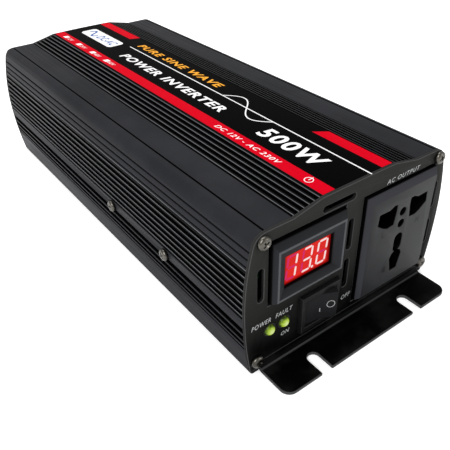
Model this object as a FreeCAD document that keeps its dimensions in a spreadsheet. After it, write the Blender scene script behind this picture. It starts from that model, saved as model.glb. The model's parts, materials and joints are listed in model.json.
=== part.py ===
import FreeCAD, Part
import Sketcher
import math
import os

Vec = FreeCAD.Vector

# Power inverter: a ribbed two-part aluminium case closed by two bent steel panels.
# Front panel: voltmeter, two lamps, rocker switch and universal AC socket.
# Rear panel: cooling fan and two screw terminals for the battery leads.
# Millimetres.  +X is right when facing the front panel, +Y runs from the front
# panel to the rear one, +Z is up.  The origin is on the standing plane, midway.

doc = FreeCAD.newDocument("PowerInverter")
sheet = doc.addObject("Spreadsheet::Sheet", "Sizes")

SIZES = [
    # case profile
    ("CaseWidth", 110.0), ("CaseHeight", 70.0), ("CaseLength", 237.0),
    ("BulgeHeight", 33.0), ("UpperSideRadius", 115.0), ("LowerSideRadius", 183.0),
    ("ShoulderDrop", 3.2), ("ShoulderCorner", 6.0), ("ShoulderEdge", 33.2),
    ("CrownHalfWidth", 19.4), ("CrownFall", 0.2), ("CaseWall", 2.6), ("BaseCorner", 1.5),
    ("SplitHeight", 14.3), ("TongueHeight", 4.0), ("TongueWall", 1.2), ("SlipGap", 0.1),
    # ribs and grooves
    ("GrooveDepth", 1.3), ("SideRibCount", 10.0), ("SideRibPitch", 2.93), ("SideRibWidth", 1.2),
    ("FineRibCount", 3.0), ("FineRibWidth", 2.15), ("FirstSideRib", 32.1),
    ("BandLow", 26.0), ("BandHigh", 30.6), ("EdgeRibWidth", 1.0),
    ("TopRibCount", 6.0), ("TopRibPitch", 2.42), ("TopRibWidth", 1.1), ("FirstTopRib", 19.7),
    ("CornerGroove", 0.8), ("CornerGrooveDepth", 0.5), ("CornerGrooveOut", 0.2),
    # panels
    ("PanelThick", 1.5), ("BendRadius", 2.5), ("FlangeReach", 17.5), ("FlangeInset", 6.75),
    ("FlangeCorner", 4.5), ("SlotWidth", 5.5), ("SlotDepth", 10.6), ("SlotPlace", 27.4),
    ("VentWidth", 3.0), ("LyingVentLength", 17.2), ("LyingVentX", -10.4), ("LyingVentZ", 64.0),
    ("RearVentLength", 9.0), ("RearVentPitch", 6.0), ("RearVentFirst", -38.0),
    ("RearVentHigh", 56.0), ("RearVentLow", 13.5),
    # fasteners
    ("ScrewHead", 5.6), ("ScrewHeadHeight", 2.0), ("ScrewShank", 2.9), ("ScrewClearance", 0.2),
    ("ScrewLength", 8.0), ("RecessWidth", 0.8), ("RecessSpan", 3.0), ("RecessDepth", 1.3),
    ("BossRadius", 3.2), ("TopScrewInset", 3.96), ("TopScrewDrop", 6.8), ("LowScrewInset", 3.76),
    ("LowScrewZ", 6.4), ("SideScrewHeight", 27.8), ("SideScrewFirst", 54.8), ("SideScrewPitch", 47.7),
    ("SideScrewLength", 9.5), ("FanScrewLength", 14.0), ("BoardScrewLength", 6.0),
    # voltmeter
    ("MeterX", -25.4), ("MeterZ", 46.9), ("MeterWidth", 36.0), ("MeterHeight", 28.0),
    ("MeterFrontWidth", 33.2), ("MeterFrontHeight", 23.6), ("MeterFrontDrop", 0.9),
    ("MeterWall", 1.0), ("MeterProud", 3.0), ("MeterRim", 0.7), ("MeterDepth", 9.0),
    ("LipThick", 1.2), ("LipCorner", 7.0),
    ("WindowWidth", 23.8), ("WindowHeight", 14.6), ("WindowDrop", 1.6), ("WindowThick", 1.2),
    ("WindowSet", 0.2), ("MountGap", 0.9), ("MountLip", 2.2),
    # socket
    ("SocketX", 24.8), ("SocketZ", 34.2), ("SocketWidth", 42.0), ("SocketHeight", 51.8),
    ("SocketFrontWidth", 38.4), ("SocketFrontHeight", 46.8), ("SocketFrontDrop", 0.6),
    ("SocketWall", 1.0), ("SocketProud", 3.1), ("SocketDepth", 22.0),
    ("PinPitch", 19.2), ("PinRow", 47.0), ("EarthRow", 26.6),
    ("RoundPin", 4.0), ("RoundPinDrop", 5.9), ("EarthWidth", 5.2), ("EarthHeight", 9.4),
    ("ContactThick", 0.8), ("ContactLength", 14.0),
    # rocker switch
    ("SwitchX", -17.7), ("SwitchZ", 17.9), ("SwitchWidth", 21.3), ("SwitchHeight", 19.4),
    ("SwitchProud", 2.0), ("SwitchOpenWidth", 16.8), ("SwitchOpenHeight", 13.8),
    ("SwitchWall", 1.1), ("SwitchDepth", 14.0), ("RockerTilt", 16.0), ("RockerGap", 0.2),
    ("PivotDepth", 2.4),
    ("RockerPin", 1.2), ("PinGap", 0.05), ("RockerRise", 3.4), ("RockerDish", 1.2),
    # lamps
    ("LampDiameter", 5.0), ("LampGap", 0.15), ("PowerLampX", -43.0), ("FaultLampX", -35.8),
    ("LampZ", 19.4), ("LampProud", 1.9), ("LampCollar", 0.8),
    # label
    ("LabelHalfWidth", 18.4), ("LabelThick", 0.2),
    # fan
    ("FanSize", 50.0), ("FanThick", 15.0), ("FanX", 23.6), ("FanZ", 35.0), ("FanBore", 46.0),
    ("FanHub", 11.0), ("BladeGap", 0.7), ("BladeCount", 7.0), ("BladePitchAngle", 35.0),
    ("FanScrewPitch", 40.0), ("FanShaft", 1.5), ("GuardWire", 0.9), ("GuardRings", 4.0),
    # terminals
    ("TerminalRedX", -38.0), ("TerminalBlackX", -14.0), ("TerminalZ", 34.0), ("StudRadius", 3.0),
    ("KnobRadius", 7.6), ("KnobLength", 10.5), ("KnobFlutes", 12.0), ("InsulatorRadius", 8.0),
    ("InsulatorThick", 2.5), ("WasherThick", 1.0), ("KnobTravelGap", 0.05),
    # inside
    ("BoardSideGap", 11.0), ("BoardEndGap", 20.5), ("BoardThick", 1.6), ("BoardHeight", 9.0),
    ("StandoffRadius", 3.0), ("StandoffInset", 5.0), ("StandoffEndInset", 14.0), ("SheetThick", 0.3),
    ("BarLength", 92.0), ("BarHeight", 26.0), ("BarThick", 6.0), ("BarGap", 0.2),
    ("TransistorCount", 4.0), ("TransistorPitch", 22.0), ("TransistorWidth", 10.0),
    ("TransistorHeight", 15.0), ("TransistorThick", 4.4), ("TransistorLift", 5.0), ("LegPitch", 2.54),
    ("CoreWidth", 42.0), ("CoreDepth", 20.0), ("CoreHeight", 32.0), ("CoreLeg", 5.0),
    ("CorePost", 15.0), ("CoilGap", 0.3), ("CoilWidth", 31.6), ("CoilOverhang", 7.0),
    ("FrontTransformerY", -14.0), ("RearTransformerY", 28.0),
    ("ChokeRadius", 11.5), ("ChokeThick", 4.0), ("ChokeY", -52.0), ("TurnRadius", 4.9),
    ("TurnWire", 0.8), ("TurnCount", 22.0), ("TurnPlaces", 26.0),
    ("BusCapRadius", 9.0), ("BusCapHeight", 35.0), ("BusCapX", 28.6),
    ("InputCapRadius", 8.0), ("InputCapHeight", 26.0), ("InputCapPitch", 18.0),
    ("InputCapEnd", 20.0), ("ControlLength", 34.0), ("ControlHeight", 24.0), ("ControlX", -27.0),
    ("ControlY", -30.0), ("BuzzerRadius", 6.0), ("BuzzerHeight", 9.0), ("BuzzerX", -28.0),
    ("BuzzerY", -80.0), ("FuseThick", 4.0), ("FuseWidth", 18.0), ("FuseHeight", 15.0),
    ("FusePitch", 10.0), ("FuseX", -6.0), ("FuseY", 57.0),
    ("BatteryLead", 2.4), ("BatteryBend", 5.0), ("SocketLead", 1.3), ("SocketBend", 4.0),
    ("LeadRun", 6.5),
]
for row, (alias, value) in enumerate(SIZES, start=1):
    sheet.set("A%d" % row, alias)
    sheet.set("B%d" % row, "%g" % value)
    sheet.setAlias("B%d" % row, alias)
doc.recompute()


def size(alias):
    """The number that a cell of the sheet holds."""
    return float(getattr(sheet, alias))


def count(alias):
    return int(round(size(alias)))


# upright vents of the front panel: across, height, length
UPRIGHT_VENTS = [(-47.7, 43.9, 15.6), (-2.9, 46.2, 15.0), (-2.9, 26.6, 15.0),
                 (49.2, 43.7, 13.6), (49.2, 24.2, 13.4)]
HALF_WIDTH = size("CaseWidth") / 2
HALF_LENGTH = size("CaseLength") / 2
SHOULDER = size("CaseHeight") - size("ShoulderDrop")
SCREW_HOLE = size("ScrewShank") + size("ScrewClearance")
BOARD_WIDTH = size("CaseWidth") - 2 * size("BoardSideGap")
BOARD_LENGTH = size("CaseLength") - 2 * size("BoardEndGap")
FRONT = -(HALF_LENGTH + size("PanelThick"))     # outer face of the front panel
REAR = -FRONT                                   # outer face of the rear panel
NODES = []                                      # sub-parts in the order they are made


# ---------------------------------------------------------------- small helpers

def keep(obj, name):
    """Name a finished sub-part; the name is also its file's."""
    obj.Label = name
    NODES.append(obj)
    return obj


def feature(name, shape, place=None):
    """A sub-part whose shape is set directly, and then its place if it has one."""
    obj = doc.addObject("Part::Feature", name)
    obj.Shape = shape
    if place is not None:
        obj.Placement = place
    return keep(obj, name)


def bind(obj, **links):
    """Tie properties of an object to expressions on the sheet."""
    for prop, text in links.items():
        obj.setExpression(prop.replace("__", "."), text)
    return obj


def block(name, width, depth, height, x, y, z):
    """A box given by expressions for its sizes and its lowest corner."""
    box = doc.addObject("Part::Box", name)
    return bind(box, Length=width, Width=depth, Height=height,
                Placement__Base__x=x, Placement__Base__y=y, Placement__Base__z=z)


def solid_box(x0, x1, y0, y1, z0, z1):
    return Part.makeBox(x1 - x0, y1 - y0, z1 - z0, Vec(x0, y0, z0))


def rod(radius, start, end):
    """A round bar from one point to another."""
    axis = end.sub(start)
    return Part.makeCylinder(radius, axis.Length, start, axis)


def along_y(face, start, end):
    """A face drawn in the XZ plane at y = 0, drawn out from start to end."""
    face = face.copy()
    face.translate(Vec(0, start, 0))
    return face.extrude(Vec(0, end - start, 0))


def rectangle(width, height, x, z):
    """A rectangular face in the XZ plane about a centre."""
    left, right = x - width / 2, x + width / 2
    low, high = z - height / 2, z + height / 2
    corners = [Vec(left, 0, low), Vec(right, 0, low), Vec(right, 0, high), Vec(left, 0, high)]
    return Part.Face(Part.makePolygon(corners + corners[:1]))


def slot(width, height, x, z, start, end):
    """A round-ended slot through a panel, upright or lying by its longer side."""
    radius = min(width, height) / 2
    half_x, half_z = width / 2 - radius, height / 2 - radius
    body = solid_box(x - max(half_x, radius * (half_z > 0)), x + max(half_x, radius * (half_z > 0)),
                     start, end,
                     z - max(half_z, radius * (half_x > 0)), z + max(half_z, radius * (half_x > 0)))
    ends = [rod(radius, Vec(x + side * half_x, start, z + side * half_z),
                Vec(x + side * half_x, end, z + side * half_z)) for side in (-1, 1)]
    return body.fuse(ends)


def tapered(width, height, x, z, y, width2, height2, z2, y2):
    """A block whose rectangular end faces differ."""
    first = rectangle(width, height, x, z).OuterWire
    last = rectangle(width2, height2, x, z2).OuterWire
    first.translate(Vec(0, y, 0))
    last.translate(Vec(0, y2, 0))
    return Part.makeLoft([first, last], True, True)


def joined(shapes):
    """One solid out of touching shapes."""
    whole = shapes[0].fuse(shapes[1:]) if len(shapes) > 1 else shapes[0]
    return whole.removeSplitter()


def group(shapes):
    return Part.makeCompound(shapes)


# ---------------------------------------------------------------- case profile

def side_x(height, inset=0.0):
    """Half width of the case at a height on its bulging side."""
    radius = size("UpperSideRadius") if height > size("BulgeHeight") else size("LowerSideRadius")
    centre = HALF_WIDTH - radius
    return centre + math.sqrt((radius - inset) ** 2 - (height - size("BulgeHeight")) ** 2)


def profile(inset):
    """Outline of the case, moved inwards by inset, as a face in the XZ plane."""
    bulge = size("BulgeHeight")
    half = HALF_WIDTH
    upper = size("UpperSideRadius") - inset
    corner = size("ShoulderCorner") - inset
    shoulder = SHOULDER - inset
    low = inset
    base_round = max(size("BaseCorner") - inset, 0.2)
    centre_x = half - size("UpperSideRadius")
    corner_z = shoulder - corner
    corner_x = centre_x + math.sqrt((upper - corner) ** 2 - (corner_z - bulge) ** 2)
    slope = math.atan2(corner_z - bulge, corner_x - centre_x)
    meet = Vec(centre_x + upper * math.cos(slope), 0, bulge + upper * math.sin(slope))
    middle = (slope + math.pi / 2) / 2
    corner_mid = Vec(corner_x + corner * math.cos(middle), 0, corner_z + corner * math.sin(middle))
    foot = Vec(side_x(low + base_round, inset), 0, low + base_round)
    foot_in = Vec(foot.x - base_round, 0, low)
    foot_mid = Vec(foot.x - base_round * (1 - math.sqrt(0.5)), 0,
                   low + base_round * (1 - math.sqrt(0.5)))
    crown_z = size("CaseHeight") - size("CrownFall") - inset
    right = [
        Part.Arc(foot_in, foot_mid, foot),
        Part.Arc(foot, Vec(side_x((foot.z + bulge) / 2, inset), 0, (foot.z + bulge) / 2),
                 Vec(half - inset, 0, bulge)),
        Part.Arc(Vec(half - inset, 0, bulge),
                 Vec(centre_x + upper * math.cos(slope / 2), 0, bulge + upper * math.sin(slope / 2)),
                 meet),
        Part.Arc(meet, corner_mid, Vec(corner_x, 0, shoulder)),
        Part.LineSegment(Vec(corner_x, 0, shoulder), Vec(size("ShoulderEdge"), 0, shoulder)),
        Part.LineSegment(Vec(size("ShoulderEdge"), 0, shoulder),
                         Vec(size("CrownHalfWidth"), 0, crown_z)),
    ]
    edges = [curve.toShape() for curve in right]
    mirrored = [edge.mirror(Vec(0, 0, 0), Vec(1, 0, 0)) for edge in edges]
    crown = Part.Arc(Vec(size("CrownHalfWidth"), 0, crown_z), Vec(0, 0, size("CaseHeight") - inset),
                     Vec(-size("CrownHalfWidth"), 0, crown_z)).toShape()
    floor = Part.LineSegment(Vec(-foot_in.x, 0, low), Vec(foot_in.x, 0, low)).toShape()
    wire = Part.Wire(Part.__sortEdges__(edges + [crown] + mirrored + [floor]))
    return Part.Face(wire)


def side_groove(low, high, depth):
    """A groove down both sides of the case between two heights."""
    outer = HALF_WIDTH + 1
    inner = min(side_x(low), side_x(high)) - depth
    return [solid_box(inner, outer, -HALF_LENGTH - 1, HALF_LENGTH + 1, low, high),
            solid_box(-outer, -inner, -HALF_LENGTH - 1, HALF_LENGTH + 1, low, high)]


def top_surface(x):
    """Height of the sloping band between the shoulder and the crown."""
    edge, crown = size("ShoulderEdge"), size("CrownHalfWidth")
    share = min(max((edge - abs(x)) / (edge - crown), 0), 1)
    top = size("CaseHeight") - size("CrownFall")
    return SHOULDER + share * (top - SHOULDER)


def top_groove(near, far, depth):
    """A groove along both slopes of the top between two distances from the middle."""
    floor = top_surface(far) - depth
    high = size("CaseHeight") + 1
    return [solid_box(near, far, -HALF_LENGTH - 1, HALF_LENGTH + 1, floor, high),
            solid_box(-far, -near, -HALF_LENGTH - 1, HALF_LENGTH + 1, floor, high)]


def case_grooves():
    depth = size("GrooveDepth")
    pitch, rib = size("SideRibPitch"), size("SideRibWidth")
    cuts = side_groove(size("BandHigh"), size("FirstSideRib") - rib / 2, depth)
    coarse = count("SideRibCount") - count("FineRibCount")
    for index in range(count("SideRibCount")):
        crest = size("FirstSideRib") + index * pitch
        fine = index >= coarse
        low = crest + (size("FineRibWidth") if fine else rib) / 2
        upper_fine = index + 1 >= coarse
        high = crest + pitch - (size("FineRibWidth") if upper_fine else rib) / 2
        cuts += side_groove(low, high, depth * (0.6 if fine else 1.0))
    edge_rib = size("EdgeRibWidth")
    step = (size("BandLow") - size("SplitHeight")) / 3
    for index in range(3):
        low = size("SplitHeight") + index * step + edge_rib * (index > 0)
        high = size("SplitHeight") + (index + 1) * step
        if index == 0:
            low, high = low + 0.9 + edge_rib, high
        cuts += side_groove(low, high, depth)
    cuts += side_groove(size("SplitHeight") - 1, size("SplitHeight") + 0.9, depth * 0.7)
    top_rib = size("TopRibWidth")
    cuts += top_groove(size("LabelHalfWidth") + 0.1, size("FirstTopRib") - top_rib / 2, depth)
    for index in range(count("TopRibCount")):
        crest = size("FirstTopRib") + index * size("TopRibPitch")
        last = index == count("TopRibCount") - 1
        far = crest + size("TopRibPitch") - top_rib / 2
        cuts += top_groove(crest + top_rib / 2, far - (0.7 if last else 0), depth * (0.5 if last else 1))
    return cuts


def shoulder_end():
    """Distance from the middle at which the flat shoulder turns into the rounded corner."""
    reach = size("UpperSideRadius") - size("ShoulderCorner")
    rise = SHOULDER - size("ShoulderCorner") - size("BulgeHeight")
    return HALF_WIDTH - size("UpperSideRadius") + math.sqrt(reach ** 2 - rise ** 2)


def corner_groove():
    """The fine line between the plain shoulder and the plain side, on both sides."""
    width, depth = size("CornerGroove"), size("CornerGrooveDepth")
    x, z = shoulder_end() + size("CornerGrooveOut"), SHOULDER
    return [solid_box(side * x - width / 2, side * x + width / 2, -HALF_LENGTH - 1, HALF_LENGTH + 1,
                      z - depth - 0.35, z + 2) for side in (-1, 1)]


# ---------------------------------------------------------------- screws

def screw(head_at, direction, length=None):
    """Pan-head cross-recess screw; head_at is the face that the head bears on."""
    length = size("ScrewLength") if length is None else length
    head, height = size("ScrewHead") / 2, size("ScrewHeadHeight")
    outline = [Vec(0, 0, 0), Vec(head, 0, 0), Vec(head, 0, height * 0.45)]
    edges = [Part.LineSegment(outline[0], outline[1]).toShape(),
             Part.LineSegment(outline[1], outline[2]).toShape(),
             Part.Arc(outline[2], Vec(head * 0.72, 0, height * 0.86), Vec(0, 0, height)).toShape(),
             Part.LineSegment(Vec(0, 0, height), outline[0]).toShape()]
    dome = Part.Face(Part.Wire(edges)).revolve(Vec(0, 0, 0), Vec(0, 0, 1), 360)
    shank = Part.makeCylinder(size("ScrewShank") / 2, length, Vec(0, 0, -length))
    span, width, deep = size("RecessSpan"), size("RecessWidth"), size("RecessDepth")
    cross = [Part.makeBox(span, width, deep + 1, Vec(-span / 2, -width / 2, height - deep)),
             Part.makeBox(width, span, deep + 1, Vec(-width / 2, -span / 2, height - deep))]
    body = dome.fuse(shank).cut(cross)
    turn = FreeCAD.Rotation(Vec(0, 0, 1), direction)
    body.Placement = FreeCAD.Placement(head_at, turn)
    return body


def panel_screw_places():
    """The upper two and then the lower two, each a set distance in from the case's side."""
    high, low = size("CaseHeight") - size("TopScrewDrop"), size("LowScrewZ")
    places = [(side_x(high) - size("TopScrewInset"), high), (side_x(low) - size("LowScrewInset"), low)]
    return [(side * x, z) for x, z in places for side in (-1, 1)]


def side_screw_places():
    first = FRONT + size("SideScrewFirst")
    return [first, first + size("SideScrewPitch")]


# ---------------------------------------------------------------- case

def case_ring(outer_inset, inner_inset):
    """A tube between two insets of the profile, as long as the case."""
    tube = along_y(profile(outer_inset), -HALF_LENGTH, HALF_LENGTH)
    core = along_y(profile(inner_inset), -HALF_LENGTH - 1, HALF_LENGTH + 1)
    return tube.cut(core)


def zone(low, high):
    """A wide block that keeps what lies between two heights."""
    reach = size("CaseWidth")
    return solid_box(-reach, reach, -HALF_LENGTH - 5, HALF_LENGTH + 5, low, high)


def screw_boss(x, z):
    return rod(size("BossRadius"), Vec(x, -HALF_LENGTH, z), Vec(x, HALF_LENGTH, z))


def screw_bore(x, z):
    return rod(SCREW_HOLE / 2, Vec(x, -HALF_LENGTH - 1, z), Vec(x, HALF_LENGTH + 1, z))


def make_case_top():
    places = panel_screw_places()[:2]
    outer = along_y(profile(0), -HALF_LENGTH, HALF_LENGTH)
    shell = case_ring(0, size("CaseWall"))
    bosses = [screw_boss(x, z).common(outer) for x, z in places]
    shell = shell.fuse(bosses).common(zone(size("SplitHeight"), size("CaseHeight") + 5))
    shell = shell.cut(case_grooves() + corner_groove() + [screw_bore(x, z) for x, z in places])
    wide = size("CaseWidth")
    holes = [rod(SCREW_HOLE / 2, Vec(-wide, y, size("SideScrewHeight")),
                 Vec(wide, y, size("SideScrewHeight"))) for y in side_screw_places()]
    return feature("case_top", shell.cut(holes).removeSplitter())


def make_case_base():
    places = panel_screw_places()[2:]
    outer = along_y(profile(0), -HALF_LENGTH, HALF_LENGTH)
    wall = size("CaseWall")
    tongue_out = wall + size("SlipGap")
    tongue_in = tongue_out + size("TongueWall")
    split, reach = size("SplitHeight"), size("TongueHeight")
    tray = case_ring(0, wall).common(zone(-1, split - size("SlipGap")))
    tongue = case_ring(tongue_out, tongue_in).common(zone(split - 3, split + reach))
    root = case_ring(wall - 0.5, tongue_in).common(zone(split - 3, split - size("SlipGap")))
    bosses = [screw_boss(x, z).common(outer) for x, z in places]
    tray = tray.fuse([tongue, root] + bosses).cut([screw_bore(x, z) for x, z in places])
    return feature("case_base", tray.removeSplitter())


# ---------------------------------------------------------------- panels

def bent_panel():
    """Front panel without its openings: an upright plate with a flange at its foot."""
    thick, bend = size("PanelThick"), size("BendRadius")
    outer_bend = bend + thick
    back, face = FRONT + thick, FRONT
    half = HALF_WIDTH - size("FlangeInset")
    tip = face - size("FlangeReach")
    plate = along_y(profile(0), face, back)
    plate = plate.cut(solid_box(-half, half, face - 1, back + 1, -1, outer_bend))
    centre = Vec(-half, back - outer_bend, outer_bend)
    diagonal = math.sqrt(0.5)
    outer_mid = centre + Vec(0, outer_bend * diagonal, -outer_bend * diagonal)
    inner_mid = centre + Vec(0, bend * diagonal, -bend * diagonal)
    edges = [
        Part.Arc(Vec(-half, back, outer_bend), outer_mid, Vec(-half, centre.y, 0)),
        Part.LineSegment(Vec(-half, centre.y, 0), Vec(-half, tip, 0)),
        Part.LineSegment(Vec(-half, tip, 0), Vec(-half, tip, thick)),
        Part.LineSegment(Vec(-half, tip, thick), Vec(-half, centre.y, thick)),
        Part.Arc(Vec(-half, centre.y, thick), inner_mid, Vec(-half, face, outer_bend)),
        Part.LineSegment(Vec(-half, face, outer_bend), Vec(-half, back, outer_bend)),
    ]
    flange = Part.Face(Part.Wire([edge.toShape() for edge in edges])).extrude(Vec(2 * half, 0, 0))
    corners = [edge for edge in flange.Edges
               if abs(edge.BoundBox.YMin - tip) < 1e-6 and abs(edge.BoundBox.YMax - tip) < 1e-6
               and edge.BoundBox.ZLength > thick / 2]
    flange = flange.makeFillet(size("FlangeCorner"), corners)
    radius = size("SlotWidth") / 2
    notches = []
    for side in (-1, 1):
        x = side * size("SlotPlace")
        end = tip + size("SlotDepth") - radius
        notches.append(solid_box(x - radius, x + radius, tip - 1, end, -1, thick + 1))
        notches.append(rod(radius, Vec(x, end, -1), Vec(x, end, thick + 1)))
    return plate.fuse(flange.cut(notches)).removeSplitter()


def screw_holes(start, end):
    radius = SCREW_HOLE / 2
    return [rod(radius, Vec(x, start, z), Vec(x, end, z)) for x, z in panel_screw_places()]


def cutout(width, height, x, z, start, end):
    return along_y(rectangle(width, height, x, z), start, end)


def make_front_panel():
    start, end = FRONT - 1, FRONT + size("PanelThick") + 1
    gap = 2 * size("MountGap")
    vent = size("VentWidth")
    cuts = screw_holes(start, end)
    cuts.append(cutout(size("MeterWidth") + gap, size("MeterHeight") + gap,
                       size("MeterX"), size("MeterZ"), start, end))
    cuts.append(cutout(size("SocketWidth") + gap, size("SocketHeight") + gap,
                       size("SocketX"), size("SocketZ"), start, end))
    cuts.append(cutout(size("SwitchOpenWidth") + 2 * size("SwitchWall") + 0.4,
                       size("SwitchOpenHeight") + 2 * size("SwitchWall") + 0.4,
                       size("SwitchX"), size("SwitchZ"), start, end))
    for x in (size("PowerLampX"), size("FaultLampX")):
        radius = size("LampDiameter") / 2 + size("LampGap")
        cuts.append(rod(radius, Vec(x, start, size("LampZ")), Vec(x, end, size("LampZ"))))
    for x, z, length in UPRIGHT_VENTS:
        cuts.append(slot(vent, length, x, z, start, end))
    cuts.append(slot(size("LyingVentLength"), vent, size("LyingVentX"), size("LyingVentZ"), start, end))
    return feature("front_panel", bent_panel().cut(cuts).removeSplitter())


def make_rear_panel():
    start, end = REAR - size("PanelThick") - 1, REAR + 1
    panel = bent_panel().mirror(Vec(0, 0, 0), Vec(0, 1, 0))
    cuts = screw_holes(start, end)
    cuts.append(rod(size("FanBore") / 2, Vec(size("FanX"), start, size("FanZ")),
                    Vec(size("FanX"), end, size("FanZ"))))
    for x, z in fan_screw_places():
        cuts.append(rod(SCREW_HOLE / 2, Vec(x, start, z), Vec(x, end, z)))
    for x in (size("TerminalRedX"), size("TerminalBlackX")):
        cuts.append(rod(insulator_neck() + 0.1, Vec(x, start, size("TerminalZ")),
                        Vec(x, end, size("TerminalZ"))))
    for index in range(5):
        x = size("RearVentFirst") + index * size("RearVentPitch")
        for z in (size("RearVentHigh"), size("RearVentLow")):
            cuts.append(slot(size("VentWidth"), size("RearVentLength"), x, z, start, end))
    return feature("rear_panel", panel.cut(cuts).removeSplitter())


def panel_lip(width, height, x, z):
    """Ears behind the panel that hold an insert; they leave its corners free."""
    lip, corner = 2 * size("MountLip"), 2 * size("LipCorner")
    start = FRONT + size("PanelThick")
    ears = [rectangle(width + lip, height - corner, x, z), rectangle(width - corner, height + lip, x, z)]
    return [along_y(ear, start, start + size("LipThick")) for ear in ears]


# ---------------------------------------------------------------- voltmeter

def make_display_bezel():
    x, z = size("MeterX"), size("MeterZ")
    width, height = size("MeterWidth"), size("MeterHeight")
    wall_y = FRONT - size("MeterWall")
    front_y = FRONT - size("MeterProud")
    front_z = z - size("MeterFrontDrop")
    rim = 2 * size("MeterRim")
    inside_y = FRONT + size("PanelThick")
    body = along_y(rectangle(width, height, x, z), wall_y, inside_y)
    nose = tapered(width, height, x, z, wall_y, size("MeterFrontWidth"),
                   size("MeterFrontHeight"), front_z, front_y)
    sleeve = along_y(rectangle(size("WindowWidth") + 5, size("WindowHeight") + 5, x, window_z()),
                     inside_y, inside_y + size("MeterDepth"))
    hood = tapered(size("MeterFrontWidth") - rim, size("MeterFrontHeight") - rim, x, front_z,
                   front_y, size("WindowWidth"), size("WindowHeight"), window_z(), window_edge())
    bore = along_y(rectangle(size("WindowWidth"), size("WindowHeight"), x, window_z()),
                   window_edge() - 0.01, inside_y + size("MeterDepth") + 1)
    sliver = along_y(rectangle(size("MeterFrontWidth") - rim, size("MeterFrontHeight") - rim,
                               x, front_z), front_y - 1, front_y)
    solid = joined([body, nose, sleeve] + panel_lip(width, height, x, z))
    return feature("display_bezel", solid.cut([hood, bore, sliver]))


def window_z():
    return size("MeterZ") - size("WindowDrop")


def window_edge():
    """Where the sloping hood of the bezel ends and the window's shaft begins."""
    return FRONT - size("MeterWall")


def make_display_window():
    gap = size("SlipGap")
    front = FRONT + size("WindowSet")
    return keep(block("display_window", "Sizes.WindowWidth - 2 * Sizes.SlipGap",
                      "Sizes.WindowThick", "Sizes.WindowHeight - 2 * Sizes.SlipGap",
                      "Sizes.MeterX - Sizes.WindowWidth / 2 + Sizes.SlipGap", "%g" % front,
                      "Sizes.MeterZ - Sizes.WindowDrop - Sizes.WindowHeight / 2 + Sizes.SlipGap"),
                "display_window")


def make_display_module():
    front = FRONT + size("WindowSet") + size("WindowThick")
    depth = inside_depth() - size("WindowSet") - size("WindowThick")
    return keep(block("display_module", "Sizes.WindowWidth - 1", "%g" % depth,
                      "Sizes.WindowHeight - 1", "Sizes.MeterX - Sizes.WindowWidth / 2 + 0.5",
                      "%g" % front,
                      "Sizes.MeterZ - Sizes.WindowDrop - Sizes.WindowHeight / 2 + 0.5"),
                "display_module")


def inside_depth():
    """From the panel's outer face to the back of the voltmeter's sleeve."""
    return size("PanelThick") + size("MeterDepth")


def make_display_board():
    """Body with one pad: the meter's circuit board, flat against the sleeve."""
    return plate_body("display_board", "Sizes.WindowWidth + 5", "Sizes.WindowHeight + 5",
                      "Sizes.BoardThick", "XZ_Plane", "Sizes.MeterX",
                      "%g" % (FRONT + inside_depth() + size("BoardThick")),
                      "Sizes.MeterZ - Sizes.WindowDrop")


# ---------------------------------------------------------------- PartDesign helpers

def plane_of(body, role):
    for item in body.Origin.OriginFeatures:
        if item.Role == role:
            return item
    raise ValueError("no plane " + role)


def centred_rectangle(sketch, across, upward):
    """A rectangle about the sketch's origin, with both sides bound to expressions."""
    corners = [Vec(-5, -5, 0), Vec(5, -5, 0), Vec(5, 5, 0), Vec(-5, 5, 0)]
    for index in range(4):
        sketch.addGeometry(Part.LineSegment(corners[index], corners[(index + 1) % 4]), False)
    for index in range(4):
        sketch.addConstraint(Sketcher.Constraint("Coincident", index, 2, (index + 1) % 4, 1))
    for index in (0, 2):
        sketch.addConstraint(Sketcher.Constraint("Horizontal", index))
        sketch.addConstraint(Sketcher.Constraint("Vertical", index + 1))
    sketch.addConstraint(Sketcher.Constraint("Symmetric", 0, 1, 1, 2, -1, 1))
    wide = sketch.addConstraint(Sketcher.Constraint("DistanceX", 0, 1, 0, 2, 10))
    tall = sketch.addConstraint(Sketcher.Constraint("DistanceY", 1, 1, 1, 2, 10))
    sketch.setExpression("Constraints[%d]" % wide, across)
    sketch.setExpression("Constraints[%d]" % tall, upward)


def centred_circle(sketch, radius):
    sketch.addGeometry(Part.Circle(Vec(0, 0, 0), Vec(0, 0, 1), 5), False)
    sketch.addConstraint(Sketcher.Constraint("Coincident", 0, 3, -1, 1))
    ring = sketch.addConstraint(Sketcher.Constraint("Radius", 0, 5))
    sketch.setExpression("Constraints[%d]" % ring, radius)


def padded_body(name, draw, length, role, x, y, z):
    """A body with one sketch on an origin plane and one pad of it."""
    body = doc.addObject("PartDesign::Body", name)
    sketch = body.newObject("Sketcher::SketchObject", name + "_sketch")
    sketch.AttachmentSupport = [(plane_of(body, role), "")]
    sketch.MapMode = "FlatFace"
    draw(sketch)
    pad = body.newObject("PartDesign::Pad", name + "_pad")
    pad.Profile = sketch
    pad.setExpression("Length", length)
    bind(body, Placement__Base__x=x, Placement__Base__y=y, Placement__Base__z=z)
    return keep(body, name)


def plate_body(name, across, upward, length, role, x, y, z):
    return padded_body(name, lambda sketch: centred_rectangle(sketch, across, upward),
                       length, role, x, y, z)


def round_body(name, radius, length, role, x, y, z):
    return padded_body(name, lambda sketch: centred_circle(sketch, radius),
                       length, role, x, y, z)


# ---------------------------------------------------------------- socket

PIN_OUTLINE = [(-5.5, -1.2), (-5.1, 4.0), (0.9, 3.8), (3.4, 5.0), (5.5, 4.9), (5.6, 1.4),
               (4.8, -4.7), (0.9, -5.0), (-1.8, -3.8)]      # live opening, about its middle
EARTH_OUTLINE = [(2.2, -5.0), (3.8, 2.5), (2.8, 4.6), (1.2, 5.4)]   # right half, about its middle


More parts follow.
